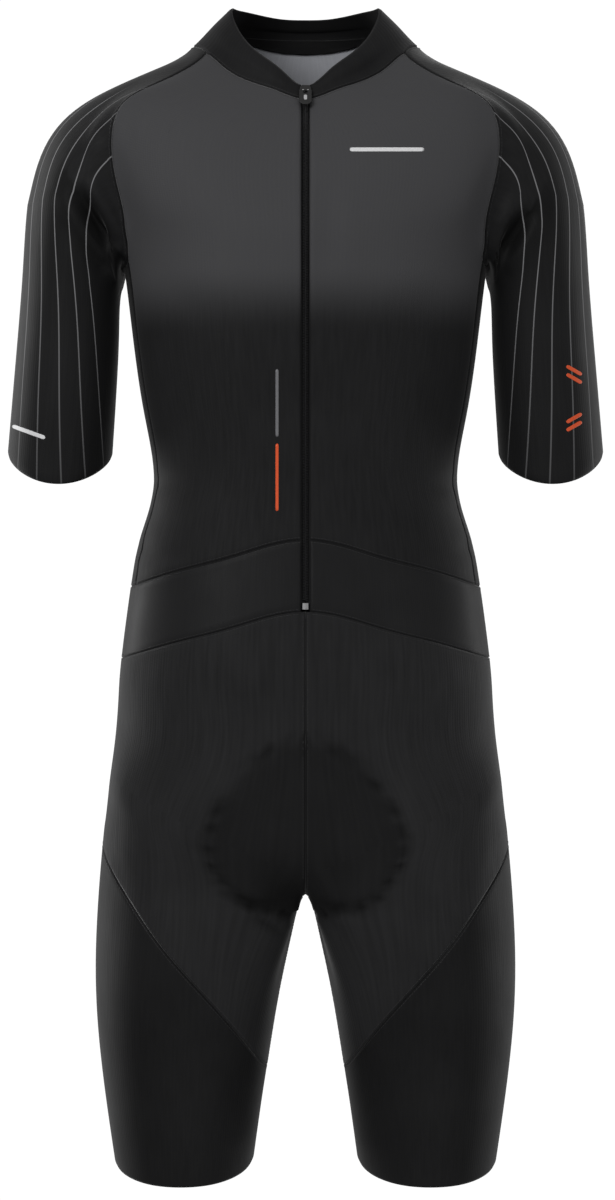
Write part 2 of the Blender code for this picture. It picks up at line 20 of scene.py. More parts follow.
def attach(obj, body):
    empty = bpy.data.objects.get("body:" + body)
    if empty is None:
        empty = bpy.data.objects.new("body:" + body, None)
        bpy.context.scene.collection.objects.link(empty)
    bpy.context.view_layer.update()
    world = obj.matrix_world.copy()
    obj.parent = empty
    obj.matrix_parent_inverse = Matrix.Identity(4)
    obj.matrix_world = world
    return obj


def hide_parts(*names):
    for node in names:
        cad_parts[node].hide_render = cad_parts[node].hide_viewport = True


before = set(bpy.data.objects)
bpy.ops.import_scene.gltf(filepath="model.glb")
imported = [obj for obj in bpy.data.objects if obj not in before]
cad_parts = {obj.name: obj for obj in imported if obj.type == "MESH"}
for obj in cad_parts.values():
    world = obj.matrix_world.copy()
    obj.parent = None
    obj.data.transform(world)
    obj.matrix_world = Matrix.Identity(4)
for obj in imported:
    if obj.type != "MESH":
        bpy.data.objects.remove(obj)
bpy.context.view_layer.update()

MM = 0.001
CLOTH = 1.0  # thickness of a shell of cloth
PACKED_CLOTH = 1.5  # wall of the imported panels
SLIVER = 0.35  # a cut leaves no edge shorter than this
INSIDE_GAP = 0.35
EDGE_BAND = 2.2  # width of a panel's border that turns in towards its seam
EDGE_TURN = 0.75
BAND_ROOM = 1.25  # how much of the border's width is kept free of other points
SQUARENESS = 2.35  # power of the trunk's sections, 2 is an ellipse
THIGH_SQUARENESS = 3.2  # the same where the trunk becomes two thighs
LEG_SQUARENESS = 2.15
SECTION_DIP = 1.15  # how late a trunk section leaves its height at the centre
YOKE_DIP = 1.6  # the same for the yoke's rows

# Trunk sections, from the armpits to the row where the legs part.
Trunk = namedtuple("Trunk", "name z_front z_side z_back half_width front back")
TRUNK = [
    Trunk("armpit", -165, -165, -165, 154, 120, 112),
    Trunk("chest", -222, -228, -225, 148, 116, 104),
    Trunk("ribs", -278, -292, -283, 138.5, 108, 91.5),
    Trunk("waist", -326, -350, -337, 130.3, 102.5, 82.5),
    Trunk("above band", -364, -395, -378, 141, 100.5, 83.5),
    Trunk("band top", -402, -440, -418, 150, 102, 91),
    Trunk("band foot", -461, -501, -478, 158, 109, 105),
    Trunk("hip", -526, -534, -535, 160.5, 113, 118),
    Trunk("seat", -594, -567, -595, 163, 112, 124),
    Trunk("leg split", -680, -600, -668, 167, 101, 116),
]
BAND_TOP, BAND_FOOT = 5, 6

# Yoke rows above the armpit: the centre line, and the raglan seam that ends each row.
Yoke = namedtuple("Yoke", "z_centre y_centre seam_x seam_y seam_z")
UNDERARM_X = 156.0
ARMPIT_SEAM_X = 150.0
ARMPIT_SEAM_Y = 45.0
FRONT_YOKE = [
    Yoke(-139, -118.5, 152, -63, -129),
    Yoke(-113, -114, 161, -73, -87),
    Yoke(-87, -107.5, 155, -75, -41),
    Yoke(-61, -98.5, 118.5, -66, -17),
    Yoke(-36, -85, 84, -40, 11),
]
BACK_YOKE = [
    Yoke(-126, 112, 153, 66, -124),
    Yoke(-86, 107, 160, 79, -82),
    Yoke(-46, 97, 151, 84, -36),
    Yoke(-5, 85, 117, 68, -8),
    Yoke(43, 73, 85, 38, 22),
]
SHOULDER_NECK = (97, 0, 24)  # where the top of the sleeve meets the collar
# Places along the neckline of the yoke's inner columns: x, y, z.
FRONT_NECK = [(24, -81, -28), (46, -72, -19), (66, -58, -6)]
BACK_NECK = [(26, 70, 43.5), (49, 62, 43), (69, 51, 38)]

# Collar's top edge, from the front centre round to the back centre in even turns.
COLLAR_HALF_WIDTH = 63.5
COLLAR_HALF_DEPTH = 69.0
COLLAR_CENTRE_Y = -6.0
COLLAR_TOP_Z = [-23, -9, 6, 22, 41, 56, 60, 62, 62, 61, 61]
COLLAR_SWELL = 0.5

# The sleeve's first ring, beside the raglan seams: under the arm, up to the shoulder, in
# front and behind.
NEAR_SEAM_UNDER = (158, 0, -173)
NEAR_SEAM_TOP = (130, 0, 2)
NEAR_SEAM_FRONT = [
    (159, -45, -175), (166, -62, -137), (178, -69, -95),
    (177, -66, -53), (148, -50, -21), (119, -30, 3),
]
NEAR_SEAM_BACK = [
    (159, 46, -173), (166, 65, -134), (178, 74, -91),
    (176, 72, -49), (147, 54, -17), (119, 32, 6),
]
# Sleeve sections fan out from the armpit: the line over the shoulder, the line under the arm.
Sleeve = namedtuple("Sleeve", "top_x top_z under_x under_z half_depth lean tilt seam_share")
SLEEVE = [
    Sleeve(130, 4, 158, -173, 75, 0, 0, 1.0),
    Sleeve(178, -16, 159, -184, 71, 0, 0, 0.5),
    Sleeve(220, -49, 160, -198, 66, 1, 0, 0.2),
    Sleeve(238, -104, 160.5, -217, 60.5, 2, 2, 0.05),
    Sleeve(243.5, -170, 161.5, -244, 57, 5, 7, 0.0),
    Sleeve(250, -246, 164, -285, 54, 8, 14, 0.0),
    Sleeve(257, -323, 167, -328, 51.5, 11, 20, 0.0),
]
CUFF_DIP = 8.0

# Leg sections, and the rings that cross them.
Leg = namedtuple("Leg", "z outer inner front back")
LEG = [
    Leg(-600, 167, 0, 104, 122),
    Leg(-660, 174, 0, 100, 116),
    Leg(-701, 177, 2, 97, 108),
    Leg(-720, 178.5, 8.5, 96, 104),
    Leg(-752, 180, 16.5, 94, 98),
    Leg(-790, 179, 23.5, 92, 91),
    Leg(-821, 178, 28, 89, 86),
    Leg(-856, 174, 34, 85, 80),
    Leg(-890, 169, 39, 81, 75),
    Leg(-940, 162, 46, 77, 70),
]
Ring = namedtuple("Ring", "z_outer z_inner tilt trunk_share")
LEG_RINGS = [
    Ring(-600, -701, 0, 1.0),
    Ring(-618, -738, 0, 0.55),
    Ring(-638, -792, 0, 0.22),
    Ring(-660, -850, 0, 0.05),
    Ring(-750, -877, 1, 0.0),
    Ring(-840, -903, 5, 0.0),
    Ring(-929, -929, 11, 0.0),
]
LEG_SEAM = 3
RING_BIAS = 0.9
# The centre line where the legs part, y and z: its front, the saddle from back to front, its back.
SPLIT_FRONT, SPLIT_BACK = (-89, -680), (105, -668)
CROTCH = [(52, -696), (0, -702), (-48, -698)]

# Outline of the seat pad, the same in front and behind: half width at each height.
PAD_OUTLINE = [
    (0, -569), (24, -572), (45, -585), (62, -607), (76, -629),
    (82, -651), (79, -670), (68, -687), (53, -702), (0, -716),
]

COLUMNS = 10
SIDE = 5
SIDE_FRONT, SIDE_BACK = 4, 6
YOKE_ROWS = len(FRONT_YOKE)
AROUND = 14

PANELS = (
    "front side back waist_front waist_back shorts_front shorts_back leg sleeve collar"
).split()
PANEL = {name: index for index, name in enumerate(PANELS)}
FIT_ROUNDS = 10
FINE = 3  # subdivisions of the skin
MERGE = 0.01
CUT_TOLERANCE = 1e-7
ZIP_SLOT = 3.5
TAPE_INNER, TAPE_OUTER, TAPE_HEM = 0.2, 13.0, 1.0  # the tapes meet under the teeth
ZIP_FOOT, STOP_HEIGHT = -454.0, 5.5
NECK_TAPE_HALF = 54.0
NECK_TAPE_FOOT = [(0, 32.5), (20, 33.4), (38, 36.2), (56, 40.6)]
NECK_TAPE_HEAD = 45.0  # it covers the collar's seam
PLATE_HIGH, PIN_UP, PIN_ROOM, TAB_THICK = 2.2, -1.5, 0.8, 1.0

# Camera, level at the suit's middle height.
CAMERA_X, CAMERA_Z, CAMERA_AWAY = 1.7, -451.5, 2300.0
FRAME_HIGH = 1032.0  # what the picture's height takes in at y = 0


def trunk_point(row, column):
    """A point of a trunk section, from the front centre round the wearer's left to the back."""
    if row is TRUNK[-1] and column in (0, COLUMNS):
        return Vector((0, *(SPLIT_BACK if column else SPLIT_FRONT)))
    turn = math.radians(180 * column / COLUMNS)
    power = 2 / (THIGH_SQUARENESS if row is TRUNK[-1] else SQUARENESS)
    across = math.sin(turn) ** power
    along = abs(math.cos(turn)) ** power
    ahead = column < SIDE
    y = -row.front * along if ahead else row.back * along
    z_centre = row.z_front if ahead else row.z_back
    z = z_centre + (row.z_side - z_centre) * across**SECTION_DIP
    return Vector((row.half_width * across, y, z))


def armpit_point(column):
    """The top row of the trunk, drawn towards the raglan seams beside the side panel."""
    point = trunk_point(TRUNK[0], column)
    if column in (SIDE_FRONT, SIDE_BACK):
        point.x = ARMPIT_SEAM_X
        point.y = math.copysign(ARMPIT_SEAM_Y, point.y)
    if column == SIDE:
        point.x = UNDERARM_X
    return point


def neck_point(column):
    """The neckline, with the sleeve's strip between the two yokes at the side column."""
    if column == SIDE:
        return Vector(SHOULDER_NECK)
    ahead = column < SIDE
    yoke = FRONT_YOKE[-1] if ahead else BACK_YOKE[-1]
    step = column if ahead else COLUMNS - column
    if step == 0:
        return Vector((0, yoke.y_centre, yoke.z_centre))
    if step == SIDE_FRONT:
        return Vector((yoke.seam_x, yoke.seam_y, yoke.seam_z))
    return Vector((FRONT_NECK if ahead else BACK_NECK)[step - 1])


def yoke_point(rows, row, step):
    """A point of a yoke: step 0 is the centre line, step 4 the raglan seam."""
    column = step if rows is FRONT_YOKE else COLUMNS - step
    if row == 0:
        return armpit_point(column)
    if row == YOKE_ROWS:
        return neck_point(column)
    yoke = rows[row - 1]
    turn = math.radians(180 * step / COLUMNS)
    edge = math.radians(180 * SIDE_FRONT / COLUMNS)
    across = (math.sin(turn) / math.sin(edge)) ** (2 / SQUARENESS)
    low = math.cos(edge) ** (2 / SQUARENESS)
    along = (math.cos(turn) ** (2 / SQUARENESS) - low) / (1 - low)
    return Vector((
        yoke.seam_x * across,
        yoke.seam_y + (yoke.y_centre - yoke.seam_y) * along,
        yoke.z_centre + (yoke.seam_z - yoke.z_centre) * across**YOKE_DIP,
    ))


def armhole_point(place):
    """The armhole loop: under the arm, up the front seam, over the shoulder, down the back."""
    if place == 0:
        return armpit_point(SIDE)
    if place <= YOKE_ROWS + 1:
        return yoke_point(FRONT_YOKE, place - 1, SIDE_FRONT)
    if place == YOKE_ROWS + 2:
        return neck_point(SIDE)
    return yoke_point(BACK_YOKE, AROUND - 1 - place, SIDE_FRONT)


def sleeve_section(ring, place):
    turn = 2 * math.pi * place / AROUND
    top = Vector((ring.top_x, 0, ring.top_z))
    under = Vector((ring.under_x, 0, ring.under_z))
    middle = (top + under) / 2
    ahead = math.sin(turn)
    point = middle + (under - middle) * math.cos(turn)
    point.y = ring.lean - ring.half_depth * ahead
    point.z -= ring.tilt * ahead + (CUFF_DIP * ring.tilt / SLEEVE[-1].tilt * ahead**2)
    return point


def near_seam_point(place):
    if place == 0:
        return Vector(NEAR_SEAM_UNDER)
    if place <= YOKE_ROWS + 1:
        return Vector(NEAR_SEAM_FRONT[place - 1])
    if place == YOKE_ROWS + 2:
        return Vector(NEAR_SEAM_TOP)
    return Vector(NEAR_SEAM_BACK[AROUND - 1 - place])


def sleeve_point(place, ring):
    """Ring 0 is the armhole, ring 1 runs beside it, and the others round off to the cuff."""
    place %= AROUND
    if ring == 0:
        return armhole_point(place)
    size = SLEEVE[ring - 1]
    drift = near_seam_point(place) - sleeve_section(SLEEVE[0], place)
    return sleeve_section(size, place) + drift * size.seam_share


def leg_size(z):
    """The leg's section at a height, between the table's rows."""
    for above, below in zip(LEG, LEG[1:]):
        if z >= below.z:
            share = (z - above.z) / (below.z - above.z)
            return Leg(*(a + (b - a) * share for a, b in zip(above, below)))
    return LEG[-1]


def leg_section(ring, place):
    turn = 2 * math.pi * (place - SIDE) / AROUND
    inward = ((1 - math.cos(turn)) / 2) ** RING_BIAS
    z = ring.z_outer + (ring.z_inner - ring.z_outer) * inward
    size = leg_size(z)
    half = (size.outer - size.inner) / 2
    reach = abs(math.cos(turn)) ** (2 / LEG_SQUARENESS)
    swing = abs(math.sin(turn)) ** (2 / LEG_SQUARENESS)
    x = size.outer - half + math.copysign(half * reach, math.cos(turn))
    y = size.back * swing if math.sin(turn) > 0 else -size.front * swing
    return Vector((x, y, z + ring.tilt * math.sin(turn)))


def leg_top(place):
    if place <= COLUMNS:
        return trunk_point(TRUNK[-1], place)
    return Vector((0, *CROTCH[place - COLUMNS - 1]))


def leg_point(place, ring):
    place %= AROUND
    drift = leg_top(place) - leg_section(LEG_RINGS[0], place)
    return leg_section(LEG_RINGS[ring], place) + drift * LEG_RINGS[ring].trunk_share


def collar_point(column, row):
    base = neck_point(column)
    turn = math.radians(180 * column / COLUMNS)
    outward = Vector((math.sin(turn), -math.cos(turn), 0))
    top = Vector((
        COLLAR_HALF_WIDTH * math.sin(turn),
        COLLAR_CENTRE_Y - COLLAR_HALF_DEPTH * math.cos(turn),
        COLLAR_TOP_Z[column],
    ))
    return base.lerp(top, row / 2) + outward * (COLLAR_SWELL if row == 1 else 0)


# Width of one column of the net, for the knit's direction: round the trunk, sleeve, leg, collar.
TRUNK_STEP, SLEEVE_STEP, LEG_STEP, COLLAR_STEP = 40.0, 21.5, 31.0, 21.0
# Length of one row of the sleeve's and of the collar's net.
SLEEVE_ROW, COLLAR_ROW = 50.0, 17.0
# The sleeve's printed lines at each ring from armhole to cuff, in columns: the first line, the pitch.
PRINT_FIRST = [3.1, 2.9, 2.88, 2.68, 2.33, 2.05, 1.57, 1.1]
PRINT_PITCH = [0.78, 0.8, 0.82, 0.82, 0.84, 0.86, 0.98, 1.06]


def smooth_step(values, low, high):
    share = np.clip((values - low) / (high - low), 0, 1)
    return share * share * (3 - 2 * share)


def patch(bm, columns, rows, place, panel_of, step, down, print_of=None):
    """A grid on the points that place(column, row) gives, marked by panel and by knit direction."""
    knit = bm.loops.layers.uv["knit"]
    marks = bm.loops.layers.uv["print"]
    made = bmesh.ops.create_grid(bm, x_segments=columns, y_segments=rows, size=0.5)["verts"]
    spot = {v: (round((v.co.x + 0.5) * columns), round((v.co.y + 0.5) * rows)) for v in made}
    for face in {face for vert in made for face in vert.link_faces}:
        column = min(spot[v][0] for v in face.verts)
        row = min(spot[v][1] for v in face.verts)
        face.material_index = PANEL[panel_of(column, row)]
        for loop in face.loops:
            c, r = spot[loop.vert]
            loop[knit].uv = (c * step * MM, down(r) * MM)
            loop[marks].uv = print_of(c, r) if print_of else (0, 0)
    for vert, (column, row) in spot.items():
        vert.co = place(column, row) * MM


def trunk_panel(column, row):
    ahead = column < SIDE
    if row < BAND_TOP:
        if SIDE_FRONT <= column < SIDE_BACK:
            return "side"
        return "front" if ahead else "back"
    if row < BAND_FOOT:
        return "waist_front" if ahead else "waist_back"
    return "shorts_front" if ahead else "shorts_back"


def leg_panel(place, ring):
    if ring >= LEG_SEAM:
        return "leg"
    return "shorts_back" if SIDE <= place < COLUMNS + 2 else "shorts_front"


def print_line(place, ring):
    """Which printed line runs through a point of the sleeve's net: lines lie at whole numbers."""
    return ((place - PRINT_FIRST[ring]) / PRINT_PITCH[ring], ring / len(SLEEVE))


def build_cage():
    """The coarse net of points that the tables give, for both halves."""
    bm = bmesh.new()
    bm.loops.layers.uv.new("knit")
    bm.loops.layers.uv.new("print")
    last = len(TRUNK) - 1
    patch(
        bm, COLUMNS, last,
        lambda c, r: armpit_point(c) if r == 0 else trunk_point(TRUNK[r], c),
        trunk_panel, TRUNK_STEP, lambda r: TRUNK[r].z_side,
    )
    for rows, name in ((FRONT_YOKE, "front"), (BACK_YOKE, "back")):
        patch(
            bm, SIDE_FRONT, YOKE_ROWS,
            lambda c, r, rows=rows: yoke_point(rows, r, c),
            lambda c, r, name=name: name, TRUNK_STEP,
            lambda r, rows=rows: TRUNK[0].z_side if r == 0 else rows[r - 1].z_centre,
        )
    patch(
        bm, AROUND, len(SLEEVE), sleeve_point, lambda c, r: "sleeve", SLEEVE_STEP,
        lambda r: -SLEEVE_ROW * r, print_line,
    )
    patch(
        bm, AROUND, len(LEG_RINGS) - 1, leg_point, leg_panel, LEG_STEP,
        lambda r: LEG_RINGS[r].z_outer,
    )
    patch(
        bm, COLUMNS, 2, collar_point, lambda c, r: "collar", COLLAR_STEP,
        lambda r: COLLAR_ROW * r,
    )
    bmesh.ops.remove_doubles(bm, verts=bm.verts[:], dist=MERGE * MM)
    bmesh.ops.mirror(
        bm, geom=bm.verts[:] + bm.edges[:] + bm.faces[:], matrix=Matrix.Identity(4),
        merge_dist=MERGE * MM, axis="X",
    )
    bmesh.ops.recalc_face_normals(bm, faces=bm.faces[:])
    cage = bpy.data.objects.new("skin_cage", mesh_of("skin_cage", bm))
    bpy.context.scene.collection.objects.link(cage)
    smooth = cage.modifiers.new("smooth", "SUBSURF")
    smooth.levels = smooth.render_levels = 1
    return cage


def smooth_skin():
    """Draws the cage out until its smooth surface passes through the tables' points."""
    cage = build_cage()
    wanted = [vert.co.copy() for vert in cage.data.vertices]
    for _ in range(FIT_ROUNDS):
        limit = cage.evaluated_get(bpy.context.evaluated_depsgraph_get()).data
        shift = [goal - limit.vertices[i].co for i, goal in enumerate(wanted)]
        for vert, move in zip(cage.data.vertices, shift):
            vert.co += move
        cage.data.update()
    smooth = cage.modifiers["smooth"]
    smooth.levels = smooth.render_levels = FINE
    skin = bmesh.new()
    skin.from_mesh(cage.evaluated_get(bpy.context.evaluated_depsgraph_get()).data)
    bpy.data.objects.remove(cage, do_unlink=True)
    skin.normal_update()
    return skin


# Folds: their line, how deep and how wide, and whether they lie in front (-1) or behind (1). The
# reach of the painted shadow beside a fold lies to the left of its line where it is more than nothing.
Fold = namedtuple("Fold", "line depth width ahead dark", defaults=(0.0,))
FOLDS = [
    # this and the third fold are the armpit folds: their last value is the reach of the painted shadow on
    # their lower side
    Fold([(-198, -96), (-188, -113), (-178, -130), (-170, -142), (-162, -150)], 9.0, 6.5, -1, -28.0),
    Fold([(-193, -140), (-183, -156), (-172, -170)], 2.4, 6.0, -1),
    Fold([(194, -114), (184, -130), (173, -147), (162, -160)], 8.0, 6.5, -1, 20.0),
    Fold([(186, -120), (172, -132), (160, -140)], 1.6, 5.0, -1),
    Fold([(-8, -704), (-24, -711), (-42, -712), (-58, -704)], 2.6, 4.0, -1),
    Fold([(-66, -706), (-52, -713), (-36, -722)], 2.6, 3.6, -1),
    Fold([(-50, -724), (-36, -731), (-20, -741)], 3.0, 3.2, -1),
    Fold([(-24, -716), (-14, -722), (-8, -731)], 2.0, 3.2, -1),
    Fold([(10, -706), (28, -715), (48, -720), (64, -719)], 2.4, 4.0, -1),
    Fold([(17, -92), (21, -130), (18, -178)], 1.6, 9.0, -1),
    Fold([(-132, -176), (-98, -196), (-56, -206)], 1.3, 12.0, -1),
    Fold([(124, -182), (92, -200), (52, -208)], 1.2, 12.0, -1),
    Fold([(12, -714), (26, -731), (42, -752)], 1.6, 4.0, -1),
    Fold([(-146, -404), (-128, -412), (-104, -414)], 1.2, 5.0, -1),
    Fold([(146, -404), (126, -413), (100, -415)], 1.2, 5.0, -1),
    Fold([(-140, -345), (-122, -352), (-100, -352)], 0.9, 6.0, -1),
    Fold([(140, -345), (120, -353), (98, -353)], 0.9, 6.0, -1),
    Fold([(-176, -96), (-164, -120), (-158, -146)], 2.6, 6.0, 1),
    Fold([(176, -96), (164, -120), (158, -146)], 2.6, 6.0, 1),
    Fold([(-118, -352), (-60, -362), (0, -358), (64, -364), (116, -352)], 1.6, 8.0, 1),
    Fold([(-108, -386), (-48, -396), (20, -394), (86, -388)], 1.1, 7.0, 1),
    Fold([(-30, -700), (-70, -716), (-112, -704), (-146, -684)], 3.0, 12.0, 1),
    Fold([(30, -700), (70, -716), (112, -704), (146, -684)], 3.0, 12.0, 1),
    Fold([(0, -90), (0, -190), (0, -320), (0, -440)], 2.6, 20.0, 1),
]
RELAX_FOOT, RELAX_ROUNDS = -110.0, 30
LIPS = 0.4  # the ridges beside a fold, as a share of its depth
FOLD_SHADE = 7.0  # a fold this deep is fully painted in shade
FOLD_SHADOW = 0.95  # how dark the painted shadow below an armpit fold is
# painted shade over the pad and in the puckers along its edge, and painted shadow beside the crotch
PAD_DARK, PAD_EDGE_DARK, SHADOW_DARK = 0.5, 0.5, 0.6
SHADOW, SHADOW_REACH = (-14, -698), 26.0  # the painted shadow beside the crotch

TAPER = 0.6  # how bluntly a fold ends
LIP_AWAY, LIP_WIDE = 2.1, 1.2  # where the ridges lie, and their width, in widths of the fold
FRONT_FACING, PAD_FACING = 3, 2  # how soon the relief fades where the cloth turns to the side

# The pad's relief in the shorts: its rise, its stitched edge, and the puckers round that; and the
# painted shade over the pad and in its puckered edge.
PAD_RISE, PAD_EDGE, PAD_SHADE_SOFT = 3.0, 7.0, 6.0
PAD_STITCH, PAD_STITCH_WIDE, PAD_LINE_WIDE = 1.1, 3.0, 4.5
PUCKERS, PUCKER_RISE, PUCKER_REACH = 38, 1.3, 9.0
PUCKER_DRIFT, PUCKER_DRIFTS = 1.7, 5  # how far and how often their pitch drifts
PUCKER_SHADE, PUCKER_SWING = 0.45, 0.75
PAD_MIDDLE, PAD_HEAD, PAD_SIDE = -645.0, -560, 95


def curve_through(points, pieces=6):
    """Points along a smooth curve through a few given ones."""
    given = [Vector(p) for p in points]
    ends = [2 * given[0] - given[1], *given, 2 * given[-1] - given[-2]]
    made = []
    for a, b, c, d in zip(ends, ends[1:], ends[2:], ends[3:]):
        for i in range(pieces):
            t = i / pieces
            made.append(
                (2 * b + (c - a) * t + (2 * a - 5 * b + 4 * c - d) * t**2
                 + (3 * b - a - 3 * c + d) * t**3) / 2
            )
    return [*made, given[-1]]


def nearest_on(line, spots):
    """Each spot's distance from a line, how far along that lies, and 1 on its left or -1."""
    nearest = np.full(len(spots), np.inf)
    along = np.zeros(len(spots))
    side = np.zeros(len(spots))
    count = len(line) - 1
    for i in range(count):
        start = np.array(line[i])
        way = np.array(line[i + 1]) - start
        share = np.clip((spots - start) @ way / (way @ way), 0, 1)
        gap = np.linalg.norm(spots - start - share[:, None] * way, axis=1)
        closer = gap < nearest
        nearest[closer] = gap[closer]
        along[closer] = (i + share[closer]) / count
        turn = way[0] * (spots[:, 1] - start[1]) - way[1] * (spots[:, 0] - start[0])
        side[closer] = np.sign(turn[closer])
    return nearest, along, side


def fold_move(fold, spots):
    """How far a fold moves each spot, and how much painted shade it lays in its groove and beside it."""
    gap, along, side = nearest_on(curve_through(fold.line), spots)
    taper = np.sin(np.pi * along) ** TAPER
    groove = np.exp(-((gap / fold.width) ** 2))
    lips = np.exp(-(((gap - LIP_AWAY * fold.width) / (LIP_WIDE * fold.width)) ** 2))
    dark = np.clip(fold.depth * groove * taper / FOLD_SHADE, 0, 1)
    # painted shadow on one side of an armpit fold's line
    if fold.dark:
        beside = np.exp(-gap / abs(fold.dark)) * (side * fold.dark > 0)
        dark = np.maximum(dark, FOLD_SHADOW * beside)
    return -fold.depth * taper * (groove - LIPS * lips), dark


def inside_outline(outline, spots):
    inside = np.zeros(len(spots), bool)
    for (x1, z1), (x2, z2) in zip(outline, [*outline[1:], outline[0]]):
        spans = (z1 > spots[:, 1]) != (z2 > spots[:, 1])
        if z1 != z2:
            cross = x1 + (spots[:, 1] - z1) * (x2 - x1) / (z2 - z1)
            inside ^= spans & (spots[:, 0] < cross)
    return inside


def pad_move(spots):
    """The pad shows through the shorts as a low raised form with puckers round its edge. Its shade,
    the shade in the puckers and the shadow beside the crotch are painted.
    """
    right = curve_through(PAD_OUTLINE)
    outline = [(x, z) for x, z in right] + [(-x, z) for x, z in reversed(right[1:-1])]
    gap, _, _ = nearest_on([*outline, outline[0]], spots)
    inside = inside_outline(outline, spots)
    rise = PAD_RISE * smooth_step(np.where(inside, gap, 0), 0, PAD_EDGE)
    stitch = PAD_STITCH * np.exp(-((gap / PAD_STITCH_WIDE) ** 2))
    turn = np.arctan2(spots[:, 1] - PAD_MIDDLE, spots[:, 0])
    swing = np.sin(PUCKERS * turn + PUCKER_DRIFT * np.sin(PUCKER_DRIFTS * turn))
    pucker = PUCKER_RISE * swing * np.exp(-((gap / PUCKER_REACH) ** 2))
    # painted shade over the pad and in its puckered edge, and painted shadow beside the crotch
    dark = PAD_DARK * smooth_step(np.where(inside, gap, -gap), -PAD_SHADE_SOFT, PAD_SHADE_SOFT)
    edge = np.clip(PUCKER_SHADE - PUCKER_SWING * swing, 0, 1) * np.exp(-((gap / PAD_LINE_WIDE) ** 2))
    dark += PAD_EDGE_DARK * edge
    away = np.linalg.norm(spots - np.array(SHADOW), axis=1) / SHADOW_REACH
    dark += SHADOW_DARK * np.exp(-(away**2))
    return rise - stitch + pucker, dark


def relax_sleeves(skin):
    """Evens out the sleeves between the raglan seam and the upper arm."""
    in_sleeve = of_panel("sleeve")
    loose = [
        vert for vert in skin.verts
        if vert.co.z > RELAX_FOOT * MM and all(in_sleeve(face) for face in vert.link_faces)
    ]
    for _ in range(RELAX_ROUNDS):
        bmesh.ops.smooth_vert(
            skin, verts=loose, factor=0.5, use_axis_x=True, use_axis_y=True, use_axis_z=True,
        )


def as_seen(places):
    """Where the camera sees places, in millimetres on the plane y = 0."""
    near = CAMERA_AWAY / (CAMERA_AWAY + places[:, 1])
    across = CAMERA_X + (places[:, 0] - CAMERA_X) * near
    high = CAMERA_Z + (places[:, 2] - CAMERA_Z) * near
    return np.stack([across, high], axis=1)


def shape_skin(skin):
    """Presses the folds and the pad's relief into the skin, and paints the shade of the folds, the pad
    and the crotch into a vertex attribute.
    """
    relax_sleeves(skin)
    skin.normal_update()
    places = np.array([v.co[:] for v in skin.verts]) / MM
    normals = np.array([v.normal[:] for v in skin.verts])
    seen = as_seen(places)
    flat = places[:, [0, 2]]
    move = np.zeros(len(places))
    # painted shade laid in and beside the folds
    painted_fold_shade = np.zeros(len(places))
    for fold in FOLDS:
        spots = seen if fold.ahead < 0 else flat
        facing = np.clip(normals[:, 1] * fold.ahead * FRONT_FACING, 0, 1)
        shift, dark = fold_move(fold, spots)
        move += shift * facing
        painted_fold_shade += dark * facing
    shorts = (places[:, 2] < PAD_HEAD) & (abs(places[:, 0]) < PAD_SIDE)
    facing = shorts * np.clip(abs(normals[:, 1]) * PAD_FACING, 0, 1)
    rise, pad_shade = pad_move(flat)
    move += rise * facing
    # painted shade: how far each point's colour is darkened for shade in the folds, over the pad and beside
    # the crotch
    shade = skin.verts.layers.float.new("shade")
    for vert, shift, fold_painted_shade, pad_painted_shade in zip(skin.verts, move, painted_fold_shade, pad_shade * facing):
        vert.co += vert.normal * shift * MM
        vert[shade] = min(fold_painted_shade + pad_painted_shade, 1.0)
    skin.normal_update()
    out = skin.verts.layers.float_vector.new("out")
    for vert in skin.verts:
        vert[out] = vert.normal


def split(bm, faces, point, normal):
    """Cuts faces along a plane, and keeps both sides."""
    edges = {edge for face in faces for edge in face.edges}
    verts = {vert for face in faces for vert in face.verts}
    bmesh.ops.bisect_plane(
        bm, geom=[*verts, *edges, *faces], dist=CUT_TOLERANCE,
        plane_co=Vector(point) * MM, plane_no=Vector(normal),
    )


def cut_off(bm, point, normal, side=0):
    """Cuts away what lies beyond a plane, on one half of the skin or on both."""
    split(bm, [face for face in bm.faces if on_side(face, side)], point, normal)
    start = Vector(point) * MM
    beyond = [
        face for face in bm.faces
        if on_side(face, side) and (face.calc_center_median() - start).dot(Vector(normal)) > 0
    ]
    bmesh.ops.delete(bm, geom=beyond, context="FACES")


def in_front(face):
    return face.calc_center_median().y < 0


def open_zip_slot(bm):
    """Takes out the strip of cloth over the zip, at the front centre."""
    for edge in (ZIP_SLOT, -ZIP_SLOT):
        split(bm, [face for face in bm.faces if in_front(face)], (edge, 0, 0), (1, 0, 0))
    middle = [
        face for face in bm.faces
        if abs(face.calc_center_median().x) < ZIP_SLOT * MM and in_front(face)
    ]
    bmesh.ops.delete(bm, geom=middle, context="FACES")


def of_panel(*names, side=0):
    """Picks the faces of a panel, on the wearer's left (1), right (-1) or both."""
    wanted = {PANEL[name] for name in names}
    return lambda face: face.material_index in wanted and on_side(face, side)


def on_side(face, side):
    return side == 0 or face.calc_center_median().x * side > 0


def border_of(bm):
    return {vert for edge in bm.edges if len(edge.link_faces) == 1 for vert in edge.verts}


def mesh_of(name, bm):
    mesh = bpy.data.meshes.new(name)
    bm.to_mesh(mesh)
    bm.free()
    return mesh


def add_piece(name, bm, *looks):
    """Puts a finished mesh in the scene, shaded smooth."""
    mesh = mesh_of(name, bm)
    for look in looks:
        mesh.materials.append(look)
    mesh.shade_smooth()
    piece = bpy.data.objects.new(name, mesh)
    bpy.context.scene.collection.objects.link(piece)
    return piece


def thicken(piece, thickness, inner_look=1):
    shell = piece.modifiers.new("thickness", "SOLIDIFY")
    shell.thickness = thickness * MM
    shell.offset = -1
    shell.use_even_offset = False
    shell.material_offset = inner_look
    shell.material_offset_rim = 0


